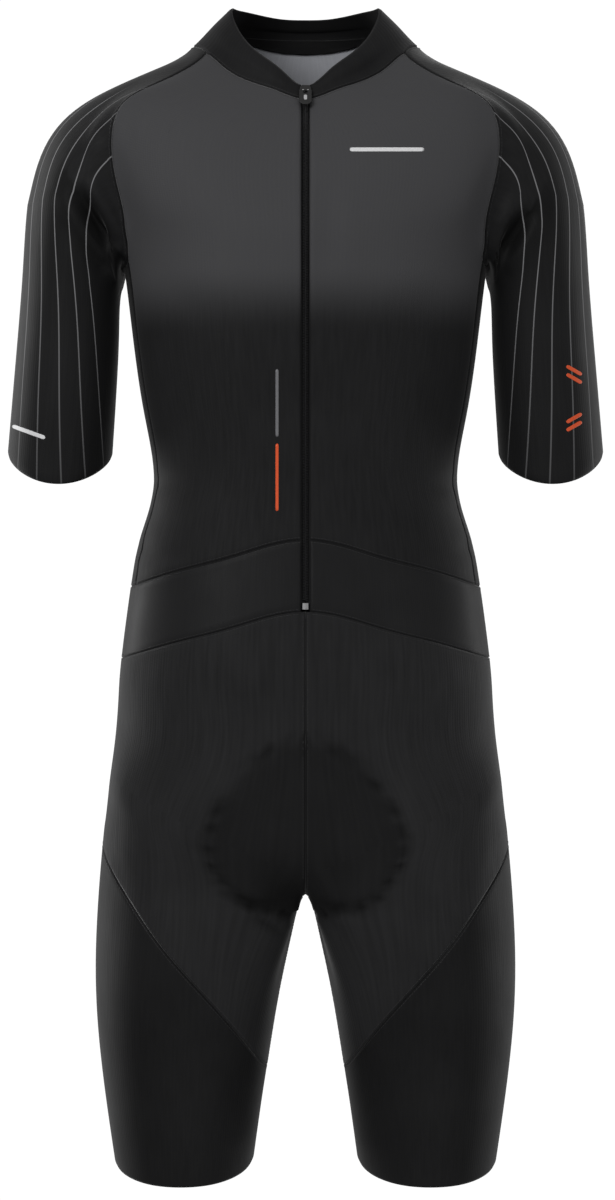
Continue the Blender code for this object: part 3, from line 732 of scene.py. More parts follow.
def make_room(bm, band):
    """Moves what lies inside a border's band past it, so that the band doesn't cross itself."""
    border = border_of(bm)
    edges = [edge for edge in bm.edges if len(edge.link_faces) == 1]
    places = []
    for edge in edges:
        a, b = (vert.co for vert in edge.verts)
        count = max(int((b - a).length / (0.5 * MM)), 1)
        places += [a.lerp(b, i / count) for i in range(count + 1)]
    near = KDTree(len(places))
    for i, place in enumerate(places):
        near.insert(place, i)
    near.balance()
    for vert in bm.verts:
        place, _, gap = near.find(vert.co)
        if vert not in border and 1e-6 < gap < band * MM:
            vert.co += (vert.co - place).normalized() * (band * MM - gap)


def cut_panel(skin, keep, cuts=(), slot=False, depth=0.0, band=EDGE_BAND, turn=EDGE_TURN):
    """A panel's outer face, with its border turned in towards the seam."""
    bm = skin.copy()
    bmesh.ops.delete(bm, geom=[f for f in bm.faces if not keep(f)], context="FACES")
    for cut in cuts:
        cut_off(bm, *cut)
    if slot:
        open_zip_slot(bm)
    bmesh.ops.remove_doubles(bm, verts=bm.verts[:], dist=SLIVER * MM)
    out = bm.verts.layers.float_vector["out"]
    for vert in bm.verts:
        vert.co -= Vector(vert[out]).normalized() * depth * MM
    if band:
        make_room(bm, band * BAND_ROOM)
        bm.normal_update()
        border = border_of(bm)
        bmesh.ops.inset_region(
            bm, faces=bm.faces[:], thickness=band * MM, use_boundary=True, use_interpolate=True,
        )
        for vert in border:
            vert.co -= Vector(vert[out]).normalized() * turn * MM
    for face in bm.faces:
        face.material_index = 0
        face.smooth = True
    return bm


# Cut pieces: their name, panel, whether there is one on each side, outer look, inner look, slot, and
# whether the zip's slot cuts them; then flat width and length, and area.
Piece = namedtuple("Piece", "name panel paired look inside slot zipped flat area")
PIECES = [
    Piece("front", "front", True, "chest", "lining", "upper_cloth", True, (0.190, 0.43), 0.0580),
    Piece("side", "side", True, "side", "lining", "side_cloth", False, (0.085, 0.27), 0.0180),
    Piece("back_panel", "back", False, "back", "pale_lining", "upper_cloth", False, (0.36, 0.47), 0.1260),
    Piece("waist_front", "waist_front", True, "band", "lining", "band_cloth", True, (0.165, 0.09), 0.0108),
    Piece("waist_back", "waist_back", False, "band", "lining", "band_cloth", False, (0.34, 0.08), 0.0220),
    Piece(
        "shorts_front", "shorts_front", True, "shorts", "lining", "shorts_cloth", False,
        (0.20, 0.38), 0.0587,
    ),
    Piece(
        "shorts_back", "shorts_back", True, "shorts", "lining", "shorts_cloth", False,
        (0.20, 0.38), 0.0587,
    ),
    Piece("leg", "leg", True, "leg", "lining", "leg_cloth", False, (0.38, 0.28), 0.0750),
    Piece("sleeve", "sleeve", True, "sleeve", "lining", "sleeve_cloth", False, (0.36, 0.36), 0.0885),
    Piece("collar", "collar", False, "collar", "collar_lining", "collar_cloth", True, (0.40, 0.06), 0.0155),
]
SIDES = ((1, "left"), (-1, "right"))


def make_panels(skin, looks):
    for piece in PIECES:
        for side, word in SIDES if piece.paired else ((0, ""),):
            node = f"{piece.name}_{word}" if word else piece.name
            bm = cut_panel(skin, of_panel(piece.panel, side=side), slot=piece.zipped)
            shell = add_piece(f"{node}_cloth", bm, looks[piece.look], looks[piece.inside])
            thicken(shell, CLOTH)
            finish_piece(shell, "suit", piece.slot, node)


def finish_piece(piece, body, slot, *nodes):
    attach(piece, body)
    if nodes:
        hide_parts(*nodes)


# The pieces inside: thickness and turned border of the tapes, and how the pad thins to its rim.
NECK_TAPE_THICK, NECK_TAPE_BAND, NECK_TAPE_TURN, ZIP_TAPE_THICK = 0.8, 1.0, 0.2, 0.7
BEHIND_NECK = 20.0
PAD_DEEPER, PAD_BAND, PAD_RIM, PAD_FULL = 0.2, 3.0, 1.8, 4.6


def make_neck_tape(skin, looks):
    """The tape that covers the collar's seam inside the back neck."""
    cuts = []
    for side in (1, -1):
        cuts.append(((side * NECK_TAPE_HALF, 0, 0), (side, 0, 0)))
        for (x, z), (next_x, next_z) in zip(NECK_TAPE_FOOT, NECK_TAPE_FOOT[1:]):
            cuts.append(((side * x, 0, z), (side * (next_z - z), 0, x - next_x), side))
    cuts.append(((0, 0, NECK_TAPE_HEAD), (0, 0, 1)))
    at_neck = of_panel("back", "collar")
    bm = cut_panel(
        skin, lambda face: at_neck(face) and face.calc_center_median().y > BEHIND_NECK * MM, cuts,
        depth=PACKED_CLOTH + INSIDE_GAP, band=NECK_TAPE_BAND, turn=NECK_TAPE_TURN,
    )
    tape = add_piece("neck_tape_cloth", bm, looks["tape"], looks["tape"])
    thicken(tape, NECK_TAPE_THICK)
    finish_piece(tape, "suit", "black_tape", "neck_tape")


def make_seat_pad(skin, looks):
    """The pad inside the shorts, full in the middle and thin at its edge."""
    cuts = []
    for side in (1, -1):
        for (x, z), (next_x, next_z) in zip(PAD_OUTLINE, PAD_OUTLINE[1:]):
            normal = (side * (z - next_z), 0, next_x - x)
            cuts.append(((side * x, 0, z), normal, side))
    bm = cut_panel(
        skin, of_panel("shorts_front", "shorts_back"), cuts,
        depth=PACKED_CLOTH + INSIDE_GAP + PAD_DEEPER, band=PAD_BAND, turn=0.0,
    )
    out = bm.verts.layers.float_vector["out"]
    border = border_of(bm)
    made = bmesh.ops.extrude_face_region(bm, geom=bm.faces[:], use_keep_orig=True)["geom"]
    inner = [item for item in made if isinstance(item, bmesh.types.BMVert)]
    edge_of_inner = border_of_inner(inner, border)
    for vert in inner:
        thick = PAD_RIM if vert in edge_of_inner else PAD_FULL
        vert.co -= Vector(vert[out]).normalized() * thick * MM
    bmesh.ops.recalc_face_normals(bm, faces=bm.faces[:])
    pad = add_piece("seat_pad_foam", bm, looks["pad"])
    finish_piece(pad, "suit", "pad", "seat_pad")


def border_of_inner(inner, border):
    """The copied verts that lie on the border's own places."""
    spots = {tuple(round(c, 7) for c in vert.co) for vert in border}
    return {vert for vert in inner if tuple(round(c, 7) for c in vert.co) in spots}


def slider_frame():
    """Where the slider sits: the middle of the collar's front, its axis up the zip."""
    up = (collar_point(0, 2) - collar_point(0, 0)).normalized()
    across = Vector((1, 0, 0))
    turn = Matrix((across, up, across.cross(up))).transposed().to_4x4()
    return Matrix.Translation(collar_point(0, 1) * MM) @ turn


def make_zip_tapes(skin, looks):
    up = slider_frame().col[1].to_3d()
    top = collar_point(0, 2) - up * TAPE_HEM
    at_zip = of_panel("front", "waist_front", "collar")
    for side, word in SIDES:
        edges = [
            ((side * TAPE_INNER, 0, 0), (-side, 0, 0)),
            ((side * TAPE_OUTER, 0, 0), (side, 0, 0)),
            ((0, 0, ZIP_FOOT - STOP_HEIGHT), (0, 0, -1)),
            (top, up),
        ]
        bm = cut_panel(
            skin, lambda face: at_zip(face) and in_front(face), edges,
            depth=PACKED_CLOTH + INSIDE_GAP, band=0.0, turn=0.0,
        )
        tape = add_piece(f"zip_tape_{word}_weave", bm, looks["tape"], looks["tape"])
        thicken(tape, ZIP_TAPE_THICK)
        finish_piece(tape, "suit", "black_tape", f"zip_tape_{word}")


# Coil of the zip: one row of teeth on each tape, set between each other.
TOOTH_PITCH, TOOTH_LONG, TOOTH_WIDE, TOOTH_TALL = 1.3, 2.6, 0.5, 1.3
TOOTH_EDGE, TOOTH_OVERLAP, TOOTH_SINK = 0.18, 0.35, 1.0
ZIP_STEP, ZIP_HEAD_GAP, IN_FRONT = 4.0, 2.0, -400
SHARP = math.radians(40)  # edges that bend more than this stay sharp


def tooth():
    bm = bmesh.new()
    bmesh.ops.create_cube(bm, size=1.0)
    bmesh.ops.scale(bm, vec=(TOOTH_LONG * MM, TOOTH_WIDE * MM, TOOTH_TALL * MM), verts=bm.verts[:])
    bmesh.ops.bevel(
        bm, geom=bm.edges[:], offset=TOOTH_EDGE * MM, segments=1, profile=0.5, affect="EDGES",
        material=-1,
    )
    return mesh_of("tooth", bm)


def repeat(name, shape, homes, *looks):
    """One mesh of many copies of a small shape, each at its own place and turn."""
    bm = bmesh.new()
    for home in homes:
        before = len(bm.verts)
        bm.from_mesh(shape)
        bm.verts.ensure_lookup_table()
        bmesh.ops.transform(bm, matrix=home, verts=bm.verts[before:])
    piece = add_piece(name, bm, *looks)
    piece.data.set_sharp_from_angle(angle=SHARP)
    return piece


def along_line(line, pitch):
    """Even places along a line: the place and the way there."""
    lengths = [0.0]
    for a, b in zip(line, line[1:]):
        lengths.append(lengths[-1] + (b - a).length)
    count = max(int(lengths[-1] / pitch), 1)
    made = []
    i = 0
    for step in range(count):
        goal = (step + 0.5) * lengths[-1] / count
        while lengths[i + 1] < goal:
            i += 1
        share = (goal - lengths[i]) / max(lengths[i + 1] - lengths[i], 1e-9)
        made.append((line[i].lerp(line[i + 1], share), (line[i + 1] - line[i]).normalized()))
    return made


def home_at(place, way, out):
    """A frame with X across the way, Y along it and Z out of the cloth."""
    across = way.cross(out).normalized()
    up = across.cross(way).normalized()
    turn = Matrix((across, way, up)).transposed().to_4x4()
    return Matrix.Translation(place) @ turn


def front_line(tree, high, low):
    """Places down the front of the skin beside its middle, from a height to a lower one."""
    line = []
    z = high
    while z > low:
        place, _, _, _ = tree.ray_cast(Vector((0.001, IN_FRONT, z)) * MM, Vector((0, 1, 0)))
        if place is not None:
            line.append(place)
        z -= ZIP_STEP
    return line


def make_zip_teeth(tree, looks):
    places = front_line(tree, collar_point(0, 1).z - ZIP_HEAD_GAP, ZIP_FOOT)
    homes = []
    for side in (1, -1):
        for index, (place, way) in enumerate(along_line(places, TOOTH_PITCH * MM)):
            out = nearest_out(tree, place)
            slide = Vector((side * (TOOTH_LONG / 2 - TOOTH_OVERLAP) * MM, 0, 0))
            shift = way * TOOTH_PITCH / 2 * MM if side > 0 else Vector()
            homes.append(home_at(place + slide + shift - out * TOOTH_SINK * MM, way, out))
    teeth = repeat("zip_coil", tooth(), homes, looks["coil"])
    finish_piece(teeth, "suit", "zip_coil", "zip_teeth")


def nearest_out(tree, place):
    _, out, _, _ = tree.find_nearest(place)
    return out


# Bare metal on the pull: the hinge pin in the tab, and a plain inlay. In the tab's own frame.
PIN_RADIUS, PIN_LONG = 0.62, 5.4
INLAY_WIDE, INLAY_LONG, INLAY_UP, INLAY_PROUD = 2.6, 6.0, -9.4, 0.18


def make_pull_metal(looks):
    """The pin and the inlay ride on the tab, and turn with it."""
    seat = slider_frame() @ Matrix.Translation(Vector((0, PIN_UP, PLATE_HIGH + PIN_ROOM)) * MM)
    pin = bmesh.new()
    bmesh.ops.create_cone(
        pin, cap_ends=True, segments=20, radius1=PIN_RADIUS * MM, radius2=PIN_RADIUS * MM,
        depth=PIN_LONG * MM, matrix=seat @ Matrix.Rotation(math.pi / 2, 4, "Y"),
    )
    inlay = bmesh.new()
    bmesh.ops.create_cube(inlay, size=1.0)
    size = (INLAY_WIDE * MM, INLAY_LONG * MM, 2 * INLAY_PROUD * MM)
    bmesh.ops.scale(inlay, vec=size, verts=inlay.verts[:])
    upright = [e for e in inlay.edges if abs((e.verts[0].co - e.verts[1].co).normalized().z) > 0.9]
    bmesh.ops.bevel(
        inlay, geom=upright, offset=INLAY_WIDE / 2.2 * MM, segments=5, profile=0.5, affect="EDGES",
        material=-1,
    )
    place = seat @ Matrix.Translation(Vector((0, INLAY_UP, TAB_THICK / 2)) * MM)
    bmesh.ops.transform(inlay, matrix=place, verts=inlay.verts[:])
    for name, bm in (("pull_pin", pin), ("pull_inlay", inlay)):
        piece = add_piece(name, bm, looks["bright"])
        piece.data.set_sharp_from_angle(angle=SHARP)
        finish_piece(piece, "pull_tab", "slider_metal")


# Sewing: threads in two rows beside each seam.
STITCH_PITCH, STITCH_LONG, STITCH_THICK, STITCH_AWAY = 2.7, 2.0, 0.34, 1.9
STITCH_PROUD, STITCH_FLAT = 0.02, 0.8
OFF_ZIP, BELOW_ZIP = 5.0, 10.0  # no stitch lies nearer the zip's middle and foot
SEWING_PARTS = -560.0  # above this height the stitches are one piece, below it another


def stitch_shape():
    bm = bmesh.new()
    bmesh.ops.create_cone(
        bm, cap_ends=True, segments=6, radius1=STITCH_THICK / 2 * MM, radius2=STITCH_THICK / 2 * MM,
        depth=STITCH_LONG * MM, matrix=Matrix.Rotation(math.pi / 2, 4, "X"),
    )
    for vert in bm.verts:
        vert.co.z *= STITCH_FLAT
    return mesh_of("stitch", bm)


def seam_lines(skin):
    """The lines where two panels meet, each as a row of places."""
    middle = {PANEL["shorts_front"], PANEL["shorts_back"]}
    seams = set()
    for edge in skin.edges:
        if len(edge.link_faces) != 2:
            continue
        a, b = edge.link_faces
        parted = a.material_index != b.material_index
        if a.material_index == b.material_index and a.material_index in middle:
            parted = a.calc_center_median().x * b.calc_center_median().x < 0
        if parted:
            seams.add(edge)
    joins = {}
    for edge in seams:
        for vert in edge.verts:
            joins.setdefault(vert, []).append(edge)
    lines = []
    left = set(seams)
    starts = [v for v in joins if len(joins[v]) != 2] + list(joins)
    for start in starts:
        for edge in joins[start]:
            if edge not in left:
                continue
            line = [start]
            vert = start
            while edge is not None:
                left.discard(edge)
                vert = edge.other_vert(vert)
                line.append(vert)
                onward = [e for e in joins[vert] if e in left]
                edge = onward[0] if len(joins[vert]) == 2 and onward else None
            lines.append([v.co.copy() for v in line])
    return lines


def make_stitching(lines, tree, looks):
    shape = stitch_shape()
    rows = []
    for line in lines:
        for place, way in along_line(line, STITCH_PITCH * MM):
            at_zip = abs(place.x) < OFF_ZIP * MM and place.z > (ZIP_FOOT - BELOW_ZIP) * MM
            if at_zip and place.y < 0:
                continue
            out = nearest_out(tree, place)
            for side in (1, -1):
                home = home_at(place, way, out)
                beside = Vector((side * STITCH_AWAY, 0, STITCH_PROUD)) * MM
                rows.append(home @ Matrix.Translation(beside))
    upper = [home for home in rows if home.translation.z > SEWING_PARTS * MM]
    lower = [home for home in rows if home.translation.z <= SEWING_PARTS * MM]
    for name, homes in (("stitching_upper", upper), ("stitching_shorts", lower)):
        sewing = repeat(name, shape, homes, looks["thread"])
        finish_piece(sewing, "suit", None)


# Plain bars printed on the cloth where the suit carries marks: middle, length, height, turn.
Bar = namedtuple("Bar", "name middle length height turn look")
BARS = [
    Bar("chest_bar", (70, -64), 64, 3.4, 0, "pale_print"),
    Bar("stomach_bar_grey", (-24.5, -282), 58, 2.6, 90, "grey_print"),
    Bar("stomach_bar_orange", (-24.5, -346), 58, 2.6, 90, "orange_print"),
    Bar("cuff_bar", (-238, -307), 30, 3.4, -20, "pale_print"),
    Bar("sleeve_bar_upper", (231, -254), 15, 3.2, -30, "orange_print"),
    Bar("sleeve_bar_upper_second", (231, -261), 15, 3.2, -30, "orange_print"),
    Bar("sleeve_bar_lower", (231, -295), 15, 3.2, 30, "orange_print"),
    Bar("sleeve_bar_lower_second", (231, -302), 15, 3.2, 30, "orange_print"),
]
PRINT_PROUD, PRINT_THICK = 0.12, 0.2
BAR_COLUMNS, BAR_ROWS = 28, 6


def make_bars(tree, looks):
    eye = Vector((CAMERA_X, -CAMERA_AWAY, CAMERA_Z)) * MM
    for bar in BARS:
        bm = bmesh.new()
        bmesh.ops.create_grid(bm, x_segments=BAR_COLUMNS, y_segments=BAR_ROWS, size=1.0)
        turn = math.radians(bar.turn)
        radius = bar.height / 2
        for vert in bm.verts:
            down = vert.co.y
            half = bar.length / 2 - radius + radius * math.sqrt(max(0.0, 1 - down * down))
            along = vert.co.x * half
            high = down * radius
            x = bar.middle[0] + along * math.cos(turn) - high * math.sin(turn)
            z = bar.middle[1] + along * math.sin(turn) + high * math.cos(turn)
            aim = (Vector((x, 0, z)) * MM - eye).normalized()
            place, out, _, _ = tree.ray_cast(eye, aim)
            if place is None:
                raise ValueError(f"{bar.name} misses the cloth")
            vert.co = place + out * PRINT_PROUD * MM
        bmesh.ops.recalc_face_normals(bm, faces=bm.faces[:])
        if sum(face.normal.y for face in bm.faces) > 0:
            bmesh.ops.reverse_faces(bm, faces=bm.faces[:])
        piece = add_piece(bar.name, bm, looks[bar.look])
        thicken(piece, PRINT_THICK, inner_look=0)
        finish_piece(piece, "suit", None)


def fill_in(tree, socket, value):
    """Links another node's output to a socket, or sets the socket to a value."""
    if isinstance(value, bpy.types.NodeSocket):
        tree.links.new(value, socket)
    elif socket.type == "RGBA":
        socket.default_value = (*value, 1)
    else:
        socket.default_value = value


def add_node(tree, kind, inputs=None, **settings):
    """Adds a shader node, fills in its inputs, and gives its outputs."""
    node = tree.nodes.new("ShaderNode" + kind)
    for name, value in settings.items():
        setattr(node, name, value)
    for name, value in (inputs or {}).items():
        fill_in(tree, node.inputs[name], value)
    return node.outputs


def maths(tree, operation, *values):
    return add_node(tree, "Math", dict(enumerate(values)), operation=operation)[0]


def mapped(tree, value, low, high, first=0.0, last=1.0, soft=False):
    """Runs from one value to another while a value runs from low to high, and stays there."""
    given = {"Value": value, "From Min": low, "From Max": high, "To Min": first, "To Max": last}
    kind = "SMOOTHSTEP" if soft else "LINEAR"
    return add_node(tree, "MapRange", given, interpolation_type=kind)[0]


def blend(tree, share, first, second):
    return add_node(tree, "Mix", {0: share, 6: first, 7: second}, data_type="RGBA")[2]


def noise(tree, where, scale, detail):
    return add_node(tree, "TexNoise", {"Vector": where, "Scale": scale, "Detail": detail})["Fac"]


def bumped(tree, height, strength, depth):
    return add_node(tree, "Bump", {"Height": height, "Strength": strength, "Distance": depth})[0]


def parts_of(tree, vector):
    return add_node(tree, "SeparateXYZ", {0: vector})


def place_in(tree):
    return add_node(tree, "TexCoord")["Object"]


def new_look(name, fill):
    """A material; fill gives its shader's inputs."""
    look = bpy.data.materials.new(name)
    look.use_nodes = True
    tree = look.node_tree
    for socket, value in fill(tree).items():
        fill_in(tree, tree.nodes["Principled BSDF"].inputs[socket], value)
    return look


# The knit's courses, and how much they and the yarn's fuzz add to the height of the wales.
COURSES, COURSE_SHARE = 5200.0, 0.45
YARN_SCALE, YARN_SHARE = 1400.0, 0.8
STREAK_SCALE, CLOUD_SCALE = (420.0, 26.0, 1.0), 14.0
TONE_LOW, TONE_HIGH = 0.3, 0.7
KNIT_DEPTH, GRAIN_DEPTH = 0.0002, 0.0001


def knit_group():
    """Fine knit: wales and courses as a height, and a tone that varies over the cloth."""
    tree = bpy.data.node_groups.new("fine_knit", "ShaderNodeTree")
    for name, end, kind in (
        ("Knit", "INPUT", "Vector"), ("Place", "INPUT", "Vector"), ("Wales", "INPUT", "Float"),
        ("Streaks", "INPUT", "Float"), ("Height", "OUTPUT", "Float"), ("Tone", "OUTPUT", "Float"),
    ):
        tree.interface.new_socket(name, in_out=end, socket_type="NodeSocket" + kind)
    given = tree.nodes.new("NodeGroupInput").outputs
    made = tree.nodes.new("NodeGroupOutput").inputs
    way = parts_of(tree, given["Knit"])
    wales = maths(tree, "SINE", maths(tree, "MULTIPLY", way["X"], given["Wales"]))
    courses = maths(tree, "SINE", maths(tree, "MULTIPLY", way["Y"], COURSES))
    both = maths(tree, "MULTIPLY_ADD", courses, COURSE_SHARE, wales)
    yarn = noise(tree, given["Place"], YARN_SCALE, 2.0)
    fill_in(tree, made["Height"], maths(tree, "MULTIPLY_ADD", yarn, YARN_SHARE, both))
    stretched = add_node(tree, "Mapping", {"Vector": given["Knit"], "Scale": STREAK_SCALE})[0]
    streak = noise(tree, stretched, 1.0, 4.0)
    cloud = noise(tree, given["Place"], CLOUD_SCALE, 3.0)
    tone = add_node(tree, "Mix", {0: given["Streaks"], 2: cloud, 3: streak}, data_type="FLOAT")[0]
    fill_in(tree, made["Tone"], mapped(tree, tone, TONE_LOW, TONE_HIGH))
    return tree


# Cloth: dark and light tone, streaks, wales, roughness, sheen and how high the knit stands.
Cloth = namedtuple("Cloth", "dark light streaks wales roughness sheen relief")
CLOTHS = {
    "chest": Cloth((0.009, 0.009, 0.0095), (0.0145, 0.0145, 0.0152), 0.6, 2600.0, 0.62, 0.12, 0.12),
    "back": Cloth((0.014, 0.014, 0.0147), (0.022, 0.022, 0.023), 0.6, 2600.0, 0.62, 0.12, 0.12),
    "side": Cloth((0.007, 0.007, 0.0074), (0.011, 0.011, 0.0116), 0.5, 2600.0, 0.66, 0.12, 0.12),
    "band": Cloth((0.0095, 0.0095, 0.01), (0.0135, 0.0135, 0.0142), 0.3, 3400.0, 0.5, 0.1, 0.06),
    "shorts": Cloth((0.0118, 0.0118, 0.0123), (0.022, 0.022, 0.023), 0.5, 2300.0, 0.68, 0.2, 0.16),
    "leg": Cloth((0.006, 0.006, 0.0063), (0.0104, 0.0104, 0.0109), 0.4, 2600.0, 0.6, 0.14, 0.1),
    "sleeve": Cloth((0.0078, 0.0078, 0.0082), (0.012, 0.012, 0.0126), 0.5, 2600.0, 0.6, 0.16, 0.1),
    "collar": Cloth((0.0075, 0.0075, 0.0079), (0.013, 0.013, 0.0137), 0.3, 2100.0, 0.65, 0.1, 0.16),
    "collar_lining": Cloth((0.006, 0.006, 0.0063), (0.01, 0.01, 0.0105), 0.2, 2100.0, 0.7, 0.05, 0.16),
    "lining": Cloth((0.014, 0.014, 0.0147), (0.022, 0.022, 0.023), 0.3, 2600.0, 0.75, 0.05, 0.16),
    "pale_lining": Cloth((0.42, 0.43, 0.465), (0.52, 0.53, 0.57), 0.5, 2600.0, 0.7, 0.05, 0.16),
    "tape": Cloth((0.005, 0.005, 0.0053), (0.01, 0.01, 0.0105), 0.1, 4500.0, 0.55, 0.05, 0.3),
    "pad": Cloth((0.012, 0.012, 0.013), (0.02, 0.02, 0.021), 0.2, 1500.0, 0.8, 0.2, 0.4),
}
SHEEN_ROUGHNESS, SPECULAR = 0.35, 0.12
SHADED = 0.15  # tone of fully shaded cloth, as a share of its dark tone
CLOTH_ROUGH_SPREAD, PLAIN_ROUGH_SPREAD = 0.06, 0.08
# The chest's cloth is lighter above this band of heights: partly its own lighter tone, partly painted
# light where the upper chest faces the light from above.
CHEST_LIGHT = (0.058, 0.058, 0.061)
CHEST_FROM, CHEST_TO = -232.0, -176.0
# Printed lines of the sleeves: their half width as a share of the pitch, tone, how many, how far
# down the sleeve they fade, and to what share, and the heights between which they end at the top.
LINE_HALF, LINE_SOFT = 0.022, 0.02
LINE_TONE = (0.20, 0.20, 0.205)
LINE_COUNT = 11
LINE_FADE_FROM, LINE_FADE_TO, LINE_FADED = 0.6, 1.0, 0.35
LINE_FULL, LINE_END = -32.0, -16.0
LINE_THIN, LINE_THIN_TO = 0.45, 0.28  # the net is wide beside the armhole, so the lines narrow there


# partly the chest cloth's own lighter tone, partly painted light on the upper chest
def chest_tone_and_painted_light(tree, colour):
    high = parts_of(tree, place_in(tree))["Z"]
    return blend(tree, mapped(tree, high, CHEST_FROM * MM, CHEST_TO * MM, soft=True), colour, CHEST_LIGHT)


def print_lines(tree, colour):
    marks = parts_of(tree, add_node(tree, "UVMap", uv_map="print")[0])
    line, down = marks["X"], marks["Y"]
    high = parts_of(tree, place_in(tree))["Z"]
    nearest = maths(tree, "SUBTRACT", maths(tree, "FRACT", maths(tree, "ADD", line, 0.5)), 0.5)
    away = maths(
        tree, "DIVIDE", maths(tree, "ABSOLUTE", nearest), mapped(tree, down, 0.0, LINE_THIN_TO, LINE_THIN),
    )
    mask = mapped(tree, away, LINE_HALF + LINE_SOFT, LINE_HALF, soft=True)
    for share in (
        mapped(tree, down, LINE_FADE_FROM, LINE_FADE_TO, 1.0, LINE_FADED),
        mapped(tree, high, LINE_FULL * MM, LINE_END * MM, 1.0, 0.0),
        maths(tree, "GREATER_THAN", line, -0.5),
        maths(tree, "LESS_THAN", line, LINE_COUNT - 0.5),
    ):
        mask = maths(tree, "MULTIPLY", mask, share)
    return blend(tree, mask, colour, LINE_TONE)


# the sleeves' printed lines, and the chest's lighter tone that is partly painted light
PRINTS_AND_PAINTED_LIGHT = {"chest": chest_tone_and_painted_light, "sleeve": print_lines}


def cloth_look(name, cloth, knit):
    def fill(tree):
        weave = add_node(tree, "Group", {
            "Knit": add_node(tree, "UVMap", uv_map="knit")[0], "Place": place_in(tree),
            "Wales": cloth.wales, "Streaks": cloth.streaks,
        }, node_tree=knit)
        colour = blend(tree, weave["Tone"], cloth.dark, cloth.light)
        # painted shade from the skin darkens the cloth towards its shaded tone
        shade = add_node(tree, "Attribute", attribute_name="shade")["Fac"]
        colour = blend(tree, shade, colour, [tone * SHADED for tone in cloth.dark])
        if name in PRINTS_AND_PAINTED_LIGHT:
            colour = PRINTS_AND_PAINTED_LIGHT[name](tree, colour)
        low, high = cloth.roughness + CLOTH_ROUGH_SPREAD, cloth.roughness - CLOTH_ROUGH_SPREAD
        return {
            "Base Color": colour, "Roughness": mapped(tree, weave["Tone"], 0.0, 1.0, low, high),
            "Normal": bumped(tree, weave["Height"], cloth.relief, KNIT_DEPTH),
            "Sheen Weight": cloth.sheen, "Sheen Roughness": SHEEN_ROUGHNESS,
            "Specular IOR Level": SPECULAR,
        }

    return new_look(f"{name}_knit", fill)


# Metal, plastic, thread and print: name, tone, roughness, whether it is metal, grain.
Plain = namedtuple("Plain", "name tone roughness metallic grain", defaults=(0.0, 900.0))
PLAINS = {
    "coil": Plain("zip_coil_black", (0.012, 0.012, 0.013), 0.35),
    "thread": Plain("sewing_thread", (0.02, 0.02, 0.021), 0.6, grain=2500.0),
    "slider": Plain("slider_enamel", (0.003, 0.003, 0.0032), 0.45),
    "bright": Plain("bright_nickel", (0.62, 0.62, 0.63), 0.3, 1.0),
    "steel": Plain("stop_steel", (0.45, 0.45, 0.46), 0.35, 1.0),
    "pale_print": Plain("pale_print", (0.75, 0.75, 0.76), 0.5),
    "grey_print": Plain("grey_print", (0.16, 0.16, 0.17), 0.5),
    "orange_print": Plain("orange_print", (0.75, 0.085, 0.012), 0.5),
}
TONE_SPREAD, GRAIN_RELIEF = 0.18, 0.1


def plain_look(plain):
    """A tone that varies a little, and a fine grain."""
    def fill(tree):
        grain = noise(tree, place_in(tree), plain.grain, 3.0)
        dark = [tone * (1 - TONE_SPREAD) for tone in plain.tone]
        light = [min(tone * (1 + TONE_SPREAD), 1) for tone in plain.tone]
        low, high = plain.roughness - PLAIN_ROUGH_SPREAD, plain.roughness + PLAIN_ROUGH_SPREAD
        return {
            "Base Color": blend(tree, grain, dark, light), "Metallic": plain.metallic,
            "Roughness": mapped(tree, grain, 0.0, 1.0, low, high),
            "Normal": bumped(tree, grain, GRAIN_RELIEF, GRAIN_DEPTH),
        }

    return new_look(plain.name, fill)


def make_looks():
    knit = knit_group()
    looks = {name: cloth_look(name, cloth, knit) for name, cloth in CLOTHS.items()}
    looks.update((name, plain_look(plain)) for name, plain in PLAINS.items())
    return looks


def dress_metal(looks):
    """The slider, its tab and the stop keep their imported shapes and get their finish."""
    finishes = {"zip_slider": "slider", "zip_pull_tab": "slider", "zip_bottom_stop": "steel"}
    for node, look in finishes.items():
        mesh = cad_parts[node].data
        mesh.materials.clear()
        mesh.materials.append(looks[look])


# The studio round the suit is white where the camera looks, and gives little light.
WORLD_SHOWN, WORLD_LIGHT = 1.05, 0.3
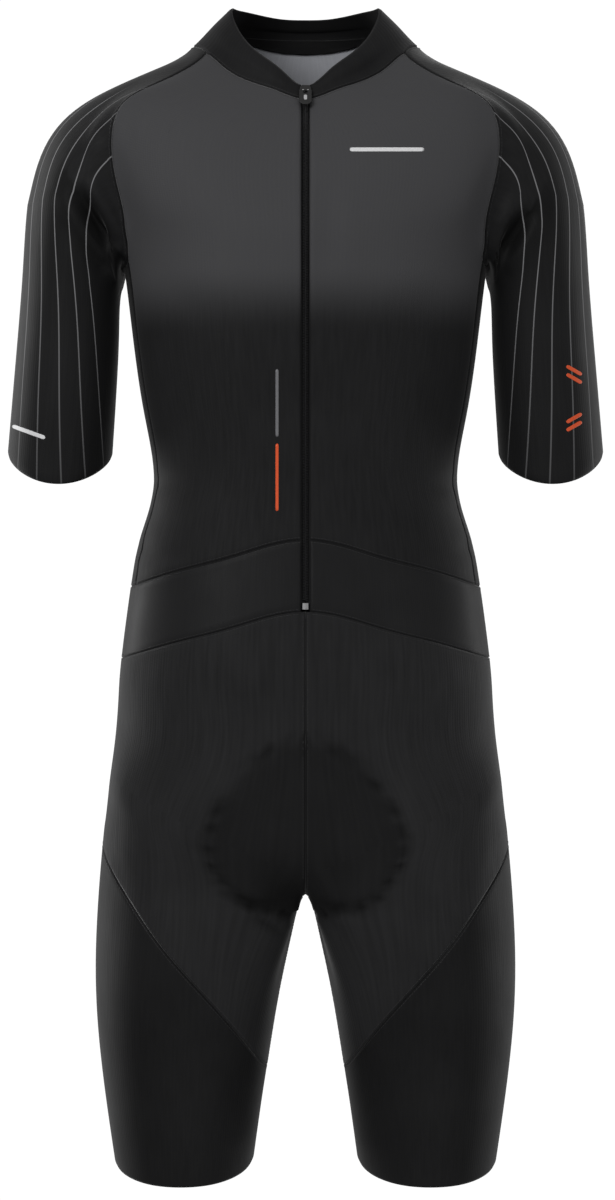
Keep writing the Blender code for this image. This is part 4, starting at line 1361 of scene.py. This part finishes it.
# Lights: place, what it is aimed at, width, height, power.
Light = namedtuple("Light", "name place aim wide high power")
LIGHTS = [
    Light("key", (-1200, -1800, 700), (0, 0, -200), 1.1, 1.1, 22),
    Light("fill", (1500, -1900, 100), (0, 0, -400), 1.2, 1.8, 7.5),
    Light("top", (0, -700, 1700), (0, -60, -100), 1.4, 0.9, 2.5),
    Light("low", (300, -1500, -1900), (0, 0, -700), 1.4, 1.0, 5),
    Light("rim_left", (1700, 800, -500), (0, 0, -550), 0.5, 1.8, 11),
    Light("rim_right", (-1700, 900, -200), (0, 0, -450), 0.5, 2.2, 20),
    Light("back", (600, 2300, 900), (0, 0, -350), 1.6, 1.6, 8),
]


def make_lights():
    for light in LIGHTS:
        data = bpy.data.lights.new(light.name, "AREA")
        data.shape = "RECTANGLE"
        data.size, data.size_y = light.wide, light.high
        data.energy = light.power
        lamp = bpy.data.objects.new(light.name, data)
        bpy.context.scene.collection.objects.link(lamp)
        place = Vector(light.place) * MM
        way = Vector(light.aim) * MM - place
        lamp.location = place
        lamp.rotation_euler = way.to_track_quat("-Z", "Y").to_euler()
    world = bpy.data.worlds.new("studio")
    world.use_nodes = True
    tree = world.node_tree
    sky = tree.nodes["Background"].inputs
    sky["Color"].default_value = (1, 1, 1, 1)
    seen = add_node(tree, "LightPath")["Is Camera Ray"]
    fill_in(tree, sky["Strength"], mapped(tree, seen, 0.0, 1.0, WORLD_LIGHT, WORLD_SHOWN))
    bpy.context.scene.world = world
    bpy.context.scene.view_settings.view_transform = "Standard"


def make_camera():
    data = bpy.data.cameras.new("front")
    data.sensor_fit = "VERTICAL"
    data.sensor_height = 36.0
    data.lens = data.sensor_height * CAMERA_AWAY / FRAME_HIGH
    data.clip_end = 20.0
    camera = bpy.data.objects.new("front", data)
    camera.location = Vector((CAMERA_X, -CAMERA_AWAY, CAMERA_Z)) * MM
    camera.rotation_euler = (math.pi / 2, 0, 0)
    bpy.context.scene.collection.objects.link(camera)
    bpy.context.scene.camera = camera


def main():
    make_camera()
    make_lights()
    looks = make_looks()
    skin = smooth_skin()
    shape_skin(skin)
    tree = BVHTree.FromBMesh(skin)
    make_panels(skin, looks)
    make_neck_tape(skin, looks)
    make_seat_pad(skin, looks)
    make_zip_tapes(skin, looks)
    make_zip_teeth(tree, looks)
    make_stitching(seam_lines(skin), tree, looks)
    make_bars(tree, looks)
    make_pull_metal(looks)
    dress_metal(looks)
    skin.free()


main()
